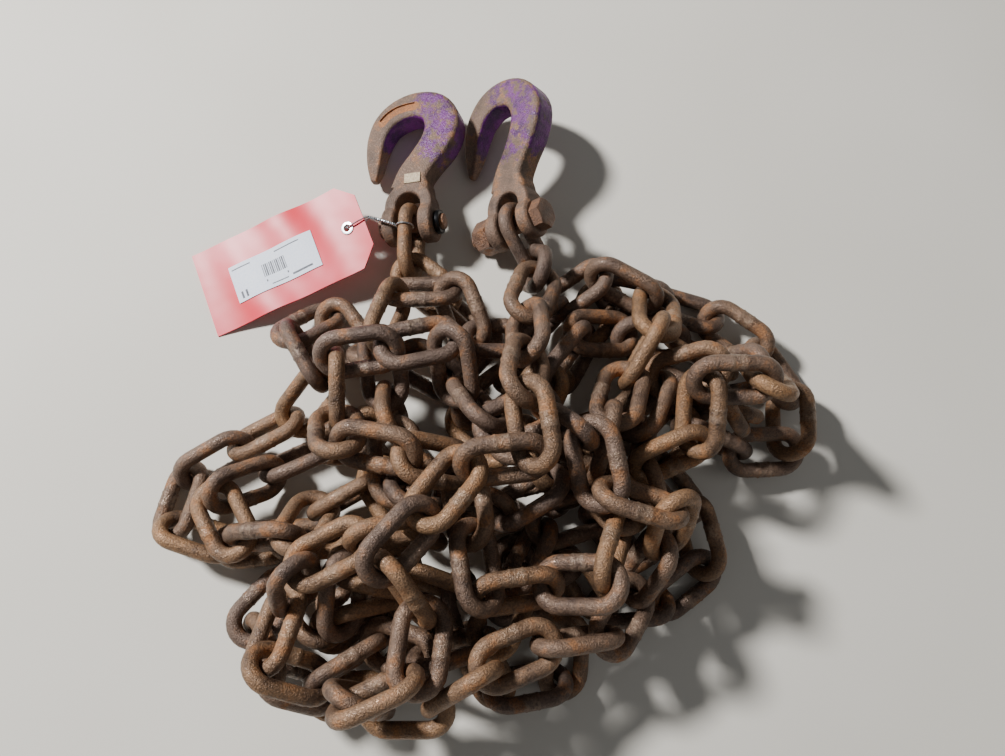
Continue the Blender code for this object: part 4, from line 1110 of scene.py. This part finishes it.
def mark_left_hook(hook):
    """The raised plate and the sunk panel, both bare."""
    plate = {key: value * MM for key, value in SIZE_PLATE_MM.items()}
    half = (plate["half width"], plate["half height"])
    raised = drawn_bar("size_plate", [(plate[end], plate["along"], 0.0, *half) for end in ("left", "right")],
                       squared=True)
    raised.data.transform(Matrix.Translation((0, 0, plate["middle"])))
    cut_away(hook, raised, "UNION")
    half = (SUNK_PANEL_HALF_WIDTH_MM * MM, SUNK_PANEL_REACH)
    sunk = drawn_bar("sunk_panel", [(*place, *half) for place in along_curve(SUNK_PANEL_MM)], squared=True)
    lift = Matrix.Translation((0, 0, SUNK_PANEL_FLOOR_MM * MM + SUNK_PANEL_REACH))
    sunk.data.transform(lift @ Matrix.Rotation(-SUNK_PANEL_SLOPE, 4, "Y"))
    cut_away(hook, sunk)


def smooth_step(value, low, high):
    share = np.clip((value - low) / (high - low), 0, 1)
    return share * share * (3 - 2 * share)


def paint_wear(hook, top_left, marked):
    """Writes how much paint is left on a hook, and where it is rustier or rubbed bare.

    The throat and the outer wall beside it keep most. The point, the fork, the rims and the marks keep
    none. Places are in millimetres in the hook's own frame, and top_left is what its left top face keeps.
    """
    x, y, z = read_corners(hook).T / MM
    out_x, out_y, facing = read_corners(hook, "normal").T
    flat = smooth_step(np.abs(facing), 0.5, 0.92)
    rim = smooth_step(np.abs(facing), 0.3, 0.6) * (1 - smooth_step(np.abs(facing), 0.8, 0.97))
    inward = smooth_step(-(out_x * (x + 3) + out_y * (y - 66)), -4, 8)
    right = smooth_step(x, -14, 10)
    point = smooth_step(-x - 0.35 * (y - 60), 16, 30)
    wall = 0.85 * inward + (1 - inward) * (0.15 + 0.55 * right)
    face = top_left * (1 - right) + 0.56 * right
    paint = wall * (1 - flat) + face * flat - 0.2 * rim
    paint *= smooth_step(y, 32, 52) * (1 - 0.8 * point)
    rusted, rubbed = np.zeros(len(x)), np.zeros(len(x))
    if marked:
        arc = np.array([place[:2] for place in along_curve(SUNK_PANEL_MM)]) / MM
        away = np.sqrt(((np.column_stack([x, y])[:, None] - arc[None]) ** 2).sum(axis=2)).min(axis=1)
        in_panel = (away < SUNK_PANEL_HALF_WIDTH_MM + 0.4) & (z > 7)
        rusted[in_panel], paint[in_panel] = 1, 0
        plate = SIZE_PLATE_MM
        on_plate = (x > plate["left"] - 1) & (x < plate["right"] + 1)
        on_plate &= np.abs(y - plate["along"]) < plate["half width"] + 1
        rubbed[on_plate & (z > plate["middle"] + 0.6 * plate["half height"])] = 1
    for name, values in (("paint", paint), ("rusted", rusted), ("rubbed", rubbed)):
        write_attribute(hook, name, np.clip(values, 0, 1))


def dress_hooks(left, right, paint):
    """The two hooks. The left one has a bare size plate on its shank and a bare sunk panel on its crown."""
    for name, place, bow_mm, pin_diameter, top_left in (
        ("left", left, LEFT_BOW_MM, PIN_DIAMETER, 0.16),
        ("right", right, RIGHT_BOW_MM, BOLT_DIAMETER, 0.3),
    ):
        hook = model_hook(f"painted_hook_{name}", bow_mm, pin_diameter)
        marked = name == "left"
        if marked:
            mark_left_hook(hook)
        paint_wear(hook, top_left, marked)
        finish_piece(hook, place, paint, f"{name}_hook")


def dress_left_pin(place, steel, dark):
    """The left hook's clevis pin and the black keeper on its far end."""
    radius, head, ease = PIN_DIAMETER / 2, PIN_HEAD_DIAMETER / 2, PIN_EASE
    outer, end = -SEAT - PIN_HEAD_LENGTH, SEAT + PIN_END_LENGTH
    profile = [(outer, head - 2.5 * ease), (outer + 0.25 * ease, head - ease), (outer + ease, head),
               (-SEAT - 0.4 * ease, head), (-SEAT, head - 0.4 * ease), (-SEAT, radius),
               (end - ease, radius), (end - 0.3 * ease, radius - 0.3 * ease), (end, radius - ease)]
    finish_piece(turned_bar("clevis_pin", profile), place, steel, "left_pin")
    inner, rim, last = radius + GAP, KEEPER_DIAMETER / 2, SEAT + KEEPER_LENGTH
    profile = [(SEAT, inner), (SEAT, rim - 0.5 * ease), (SEAT + 0.5 * ease, rim), (last - 0.9 * ease, rim),
               (last - 0.25 * ease, rim - 0.3 * ease), (last, rim - 1.2 * ease), (last, inner + 0.5 * ease),
               (last - 0.5 * ease, inner), (SEAT, inner)]
    finish_piece(turned_bar("black_keeper", profile, hollow=True), place, dark, "pin_keeper")


def turned_hexagon(name, flats, low, high, both_ends):
    """A six-sided prism about X whose corners are turned off at its high end, or at both ends."""
    corner = flats / math.sqrt(3)
    face, outside = flats / 2 * HEXAGON_FACE, corner * HEXAGON_OUTSIDE
    slope = (outside - face) / 2
    start = [(low, face), (low + slope, outside)] if both_ends else [(low, outside)]
    hexagon = turned_bar(name, [(low, corner), (high, corner)], sides=6)
    lathe = turned_bar("lathe", start + [(high - slope, outside), (high, face)], sides=LATHE_SIDES)
    cut_away(hexagon, lathe, "INTERSECT")
    return hexagon


def dress_bolt(place, steel):
    """The right hook's bolt, with its rolled thread beyond the nut, and its heavy nut."""
    radius, depth, pitch = BOLT_DIAMETER / 2, THREAD_DEPTH, THREAD_PITCH
    nut_end = -SEAT - NUT_LENGTH
    end = nut_end - BOLT_STUB_LENGTH
    crest = end + 0.5 * depth
    profile = [(end, radius - 1.6 * depth), (crest, radius - depth)]
    while crest + pitch < nut_end + 2 * pitch:
        profile += [(crest + 0.45 * pitch, radius), (crest + 0.6 * pitch, radius),
                    (crest + pitch, radius - depth)]
        crest += pitch
    profile += [(crest + depth, radius), (SEAT + BOLT_HEAD_LENGTH / 2, radius)]
    bolt = turned_bar("hex_bolt", profile)
    head = turned_hexagon("bolt_head", BOLT_HEAD_ACROSS_FLATS, SEAT, SEAT + BOLT_HEAD_LENGTH, False)
    cut_away(bolt, head, "UNION")
    finish_piece(bolt, place, steel, "right_bolt")
    nut = turned_hexagon("heavy_hex_nut", NUT_ACROSS_FLATS, nut_end, -SEAT, True)
    bore = radius + GAP
    mouth = [(nut_end - MM, bore + NUT_MOUTH + MM), (nut_end + NUT_MOUTH, bore), (-SEAT + MM, bore)]
    cut_away(nut, turned_bar("nut_bore", mouth))
    finish_piece(nut, place, steel, "right_nut")


def bend_to_card(piece, lift):
    """Lays a flat strip, drawn from x = 0 along the card, on the bent card, lift above its middle face.

    The card's waves die out at its ends, so it still rests on the ground and on its eyelet.
    """
    flat = read_corners(piece)
    places = np.clip(flat[:, 0], 0, TAG_LENGTH)
    alongs, heights = tag_points(places)
    ahead_along, ahead_heights = tag_points(np.minimum(places + MM, TAG_LENGTH))
    back_along, back_heights = tag_points(np.maximum(places - MM, 0))
    lean = np.arctan2(ahead_heights - back_heights, ahead_along - back_along)
    off = flat[:, 2] + lift
    share = places / TAG_LENGTH
    crests = 0.5 - 0.5 * np.cos(2 * math.pi * (CARD_WAVES * share + CARD_WAVE_LEAN * flat[:, 1] / TAG_WIDTH))
    heights = heights + CARD_WAVE * np.sin(math.pi * share) ** 2 * crests
    bent = np.column_stack([alongs - np.sin(lean) * off, flat[:, 1], heights + np.cos(lean) * off])
    piece.data.vertices.foreach_set("co", bent.ravel())
    piece.data.update()


def flat_sheet(name, start, length, width, middle):
    """A flat sheet of small cells along X, on z = 0."""
    along, across = (max(1, round(size / SHEET_CELL)) for size in (length, width))
    bpy.ops.mesh.primitive_grid_add(x_subdivisions=along, y_subdivisions=across, size=1.0,
                                    location=(start + length / 2, middle, 0))
    sheet = bpy.context.object
    sheet.name = sheet.data.name = name
    sheet.scale = (length, width, 1)
    settle(sheet)
    return sheet


def thicken(sheet, thickness):
    with_modifier(sheet, "SOLIDIFY", thickness=thickness, offset=0)


def dress_tag(place, card, paper, ink):
    """The bent card with its hole, and its label with plain bars."""
    tag = flat_sheet("red_tag_card", 0, TAG_LENGTH, TAG_WIDTH, 0)
    open_edit(tag)
    for sign in (-1, 1):
        bpy.ops.mesh.select_all(action="SELECT")
        corner = (TAG_LENGTH - TAG_CORNER_CUT / 2, sign * (TAG_WIDTH / 2 - TAG_CORNER_CUT / 2), 0)
        bpy.ops.mesh.bisect(plane_co=corner, plane_no=(1, sign, 0), clear_outer=True, clear_inner=False)
    close_edit()
    thicken(tag, TAG_THICKNESS)
    hole = EYELET_BORE / 2 + EYELET_WALL + GAP
    bpy.ops.mesh.primitive_cylinder_add(vertices=ROUND_SIDES, radius=hole, depth=10 * TAG_THICKNESS,
                                        location=(TAG_LENGTH - EYELET_FROM_END, 0, 0))
    cut_away(tag, bpy.context.object)
    bend_to_card(tag, 0)
    finish_piece(tag, place, card, "tag")
    label = flat_sheet("white_label", LABEL_START, LABEL_LENGTH, LABEL_WIDTH, LABEL_OFF_CENTRE)
    bars = []
    for along, across, length, width in PRINTED_BARS_MM:
        start = LABEL_START + LABEL_LENGTH / 2 + (along - length / 2) * MM
        bars.append(flat_sheet("bar", start, length * MM, width * MM, LABEL_OFF_CENTRE + across * MM))
    lift = TAG_THICKNESS / 2 + GAP + LABEL_THICKNESS / 2
    for sheet, thickness, height, look in (
        (label, LABEL_THICKNESS, lift, paper),
        (joined("label_print", bars), PRINT_THICKNESS, lift + LABEL_THICKNESS / 2 + PRINT_THICKNESS, ink),
    ):
        thicken(sheet, thickness)
        bend_to_card(sheet, height)
        finish_piece(sheet, place, look, "tag_label")


def dress_eyelet(place, metal):
    """The rolled eyelet: a barrel whose two lips curl out over the card."""
    seat = TAG_THICKNESS / 2 + GAP
    lip, bore, rim = seat + EYELET_LIP, EYELET_BORE / 2, EYELET_DIAMETER / 2
    half = [(0.0, bore), (seat, bore), (0.6 * lip + 0.4 * seat, bore + 0.25 * EYELET_LIP),
            (lip, bore + 0.7 * EYELET_LIP), (lip, (bore + rim) / 2),
            (0.8 * lip + 0.2 * seat, rim - 0.4 * EYELET_LIP), (seat + 0.3 * EYELET_LIP, rim),
            (seat, rim - 0.2 * EYELET_LIP), (seat, bore + EYELET_WALL)]
    eyelet = turned_bar("zinc_eyelet", half + [(-x, radius) for x, radius in reversed(half)], hollow=True)
    finish_piece(eyelet, place, metal, "tag_eyelet")


def wire_path(eyelet, link):
    """The tie wire's path: back along its stem, through the eyelet, out along the stem and round the link."""
    over = TAG_THICKNESS / 2 + GAP + EYELET_LIP + GAP + TIE_WIRE / 2
    end = EYELET_FROM_END
    upper = [(0.65 * over, 0.0), (over, TIE_WIRE), (over, end), (0.4 * over, end + 3 * TIE_WIRE)]
    loop = [eyelet @ Vector((x, y, 0)) for x, y in [(-x, y) for x, y in reversed(upper)] + upper]
    up = link.side if link.side[2] > 0 else -link.side
    middle = Vector(link.middle + CROWN_RADIUS * up - TIE_PLACE * link.axis)
    reach = WIRE / 2 + GAP + TIE_WIRE / 2
    along, high = Vector(link.axis), Vector(up)
    out = high.cross(along).normalized()
    if out.x > 0:
        out.negate()
    start = eyelet @ Vector((0, end + 2.8 * TIE_WIRE, 0.2 * TIE_WIRE))
    leave = middle + (out * math.cos(TIE_EXIT) + high * math.sin(TIE_EXIT)) * reach
    crest = start.lerp(leave, 0.5) + Vector((0, 0, TIE_HUMP))
    strands = ([], [])
    for strand, side in zip(strands, (0, math.pi)):
        for k in range(TWIST_STEPS + 1):
            t = k / TWIST_STEPS
            spot = start * (1 - t) ** 2 + crest * 2 * t * (1 - t) + leave * t * t
            forward = ((crest - start) * (1 - t) + (leave - crest) * t).normalized()
            lift = forward.orthogonal().normalized()
            turn = 2 * math.pi * TWIST_TURNS * t + side
            aside = lift * math.cos(turn) + forward.cross(lift) * math.sin(turn)
            strand.append(spot + aside * STRAND_OFFSET)
    collar = []
    for k in range(1, COLLAR_STEPS):
        turn = TIE_EXIT + 2 * math.pi * k / COLLAR_STEPS
        slide = along * (TIE_WIRE * (k / COLLAR_STEPS - 0.5))
        collar.append(middle + (out * math.cos(turn) + high * math.sin(turn)) * reach + slide)
    return loop + strands[0] + collar + strands[1][::-1] + [loop[0]]


def dress_tag_wire(eyelet, link, metal):
    """The twisted tie wire, a round bevel along its path."""
    curve = bpy.data.curves.new("tie_wire", "CURVE")
    curve.dimensions = "3D"
    curve.bevel_depth = TIE_WIRE / 2
    curve.bevel_resolution = 2
    fine = curve_through(np.array([list(point) for point in wire_path(eyelet, link)]), WIRE_CURVE_STEPS)
    spline = curve.splines.new("POLY")
    spline.points.add(len(fine) - 1)
    for point, spot in zip(spline.points, fine):
        point.co = (*spot, 1)
    wire = bpy.data.objects.new("tie_wire", curve)
    bpy.context.collection.objects.link(wire)
    alone(wire)
    bpy.ops.object.convert(target="MESH")
    finish_piece(bpy.context.object, Matrix(), metal, "tag_wire")


def add_looking(name, data, place, target):
    """An object in the scene that looks from its place at a target."""
    made = bpy.data.objects.new(name, data)
    bpy.context.collection.objects.link(made)
    made.location = place
    made.rotation_euler = (target - place).to_track_quat("-Z", "Y").to_euler()
    return made


def add_studio(shift):
    """The camera where the photograph was taken from, a pale floor, and soft light from the upper left."""
    eye = bpy.data.cameras.new("camera")
    eye.sensor_width = SENSOR_MM
    eye.lens = SENSOR_MM * FOCAL_PX / PHOTO_WIDTH_PX
    eye.clip_start = NEAREST_SEEN
    bpy.context.scene.camera = add_looking("camera", eye, Vector(CAMERA_MM) * MM + shift, shift)
    bpy.ops.mesh.primitive_plane_add(size=FLOOR_SIZE, location=(0, 0, 0))
    floor = bpy.context.object
    floor.name = "floor"
    floor.data.materials.append(material("pale studio floor", studio_floor))
    for name, place, size, power in LIGHTS:
        light = bpy.data.lights.new(name, "AREA")
        light.shape = "DISK"
        light.size, light.energy = size, power
        add_looking(name, light, Vector(place), Vector())
    world = bpy.data.worlds.new("studio")
    world.use_nodes = True
    feed(world.node_tree, world.node_tree.nodes["Background"], {"Color": SKY, "Strength": SKY_STRENGTH})
    bpy.context.scene.world = world


def main():
    bpy.ops.object.select_all(action="DESELECT")
    left_frame = left_hook_frame()
    links = lay_chain(smooth_route(ROUTE_MM), first_link(left_frame))
    low, high = (Vector(corner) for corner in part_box("pin_keeper"))
    shift = (low + high) / 2 - Vector(left_frame.middle + left_frame.pin * (SEAT + KEEPER_LENGTH / 2))
    add_studio(shift)
    to_heap = Matrix.Translation(shift)
    left, right = to_heap @ as_matrix(left_frame), to_heap @ as_matrix(right_hook_frame(links[-1]))
    fasteners = material("rusted plain steel fasteners", fastener_steel)
    zinc = material("galvanised iron wire", zinc_wire)
    dress_chain(links, shift, material("rusted carbon steel chain", chain_steel))
    dress_hooks(left, right, material("worn purple enamel on forged steel", hook_paint))
    dress_left_pin(left, fasteners, material("blackened spring steel", keeper_steel))
    dress_bolt(right, fasteners)
    card = material("film-coated red card", coated_card)
    paper = material("white label paper", label_paper)
    dress_tag(to_heap @ tag_frame(), card, paper, material("grey thermal print", label_ink))
    eyelet = to_heap @ eyelet_frame()
    dress_eyelet(eyelet, zinc)
    first = links[0]._replace(middle=links[0].middle + np.array(shift))
    dress_tag_wire(eyelet, first, zinc)


main()
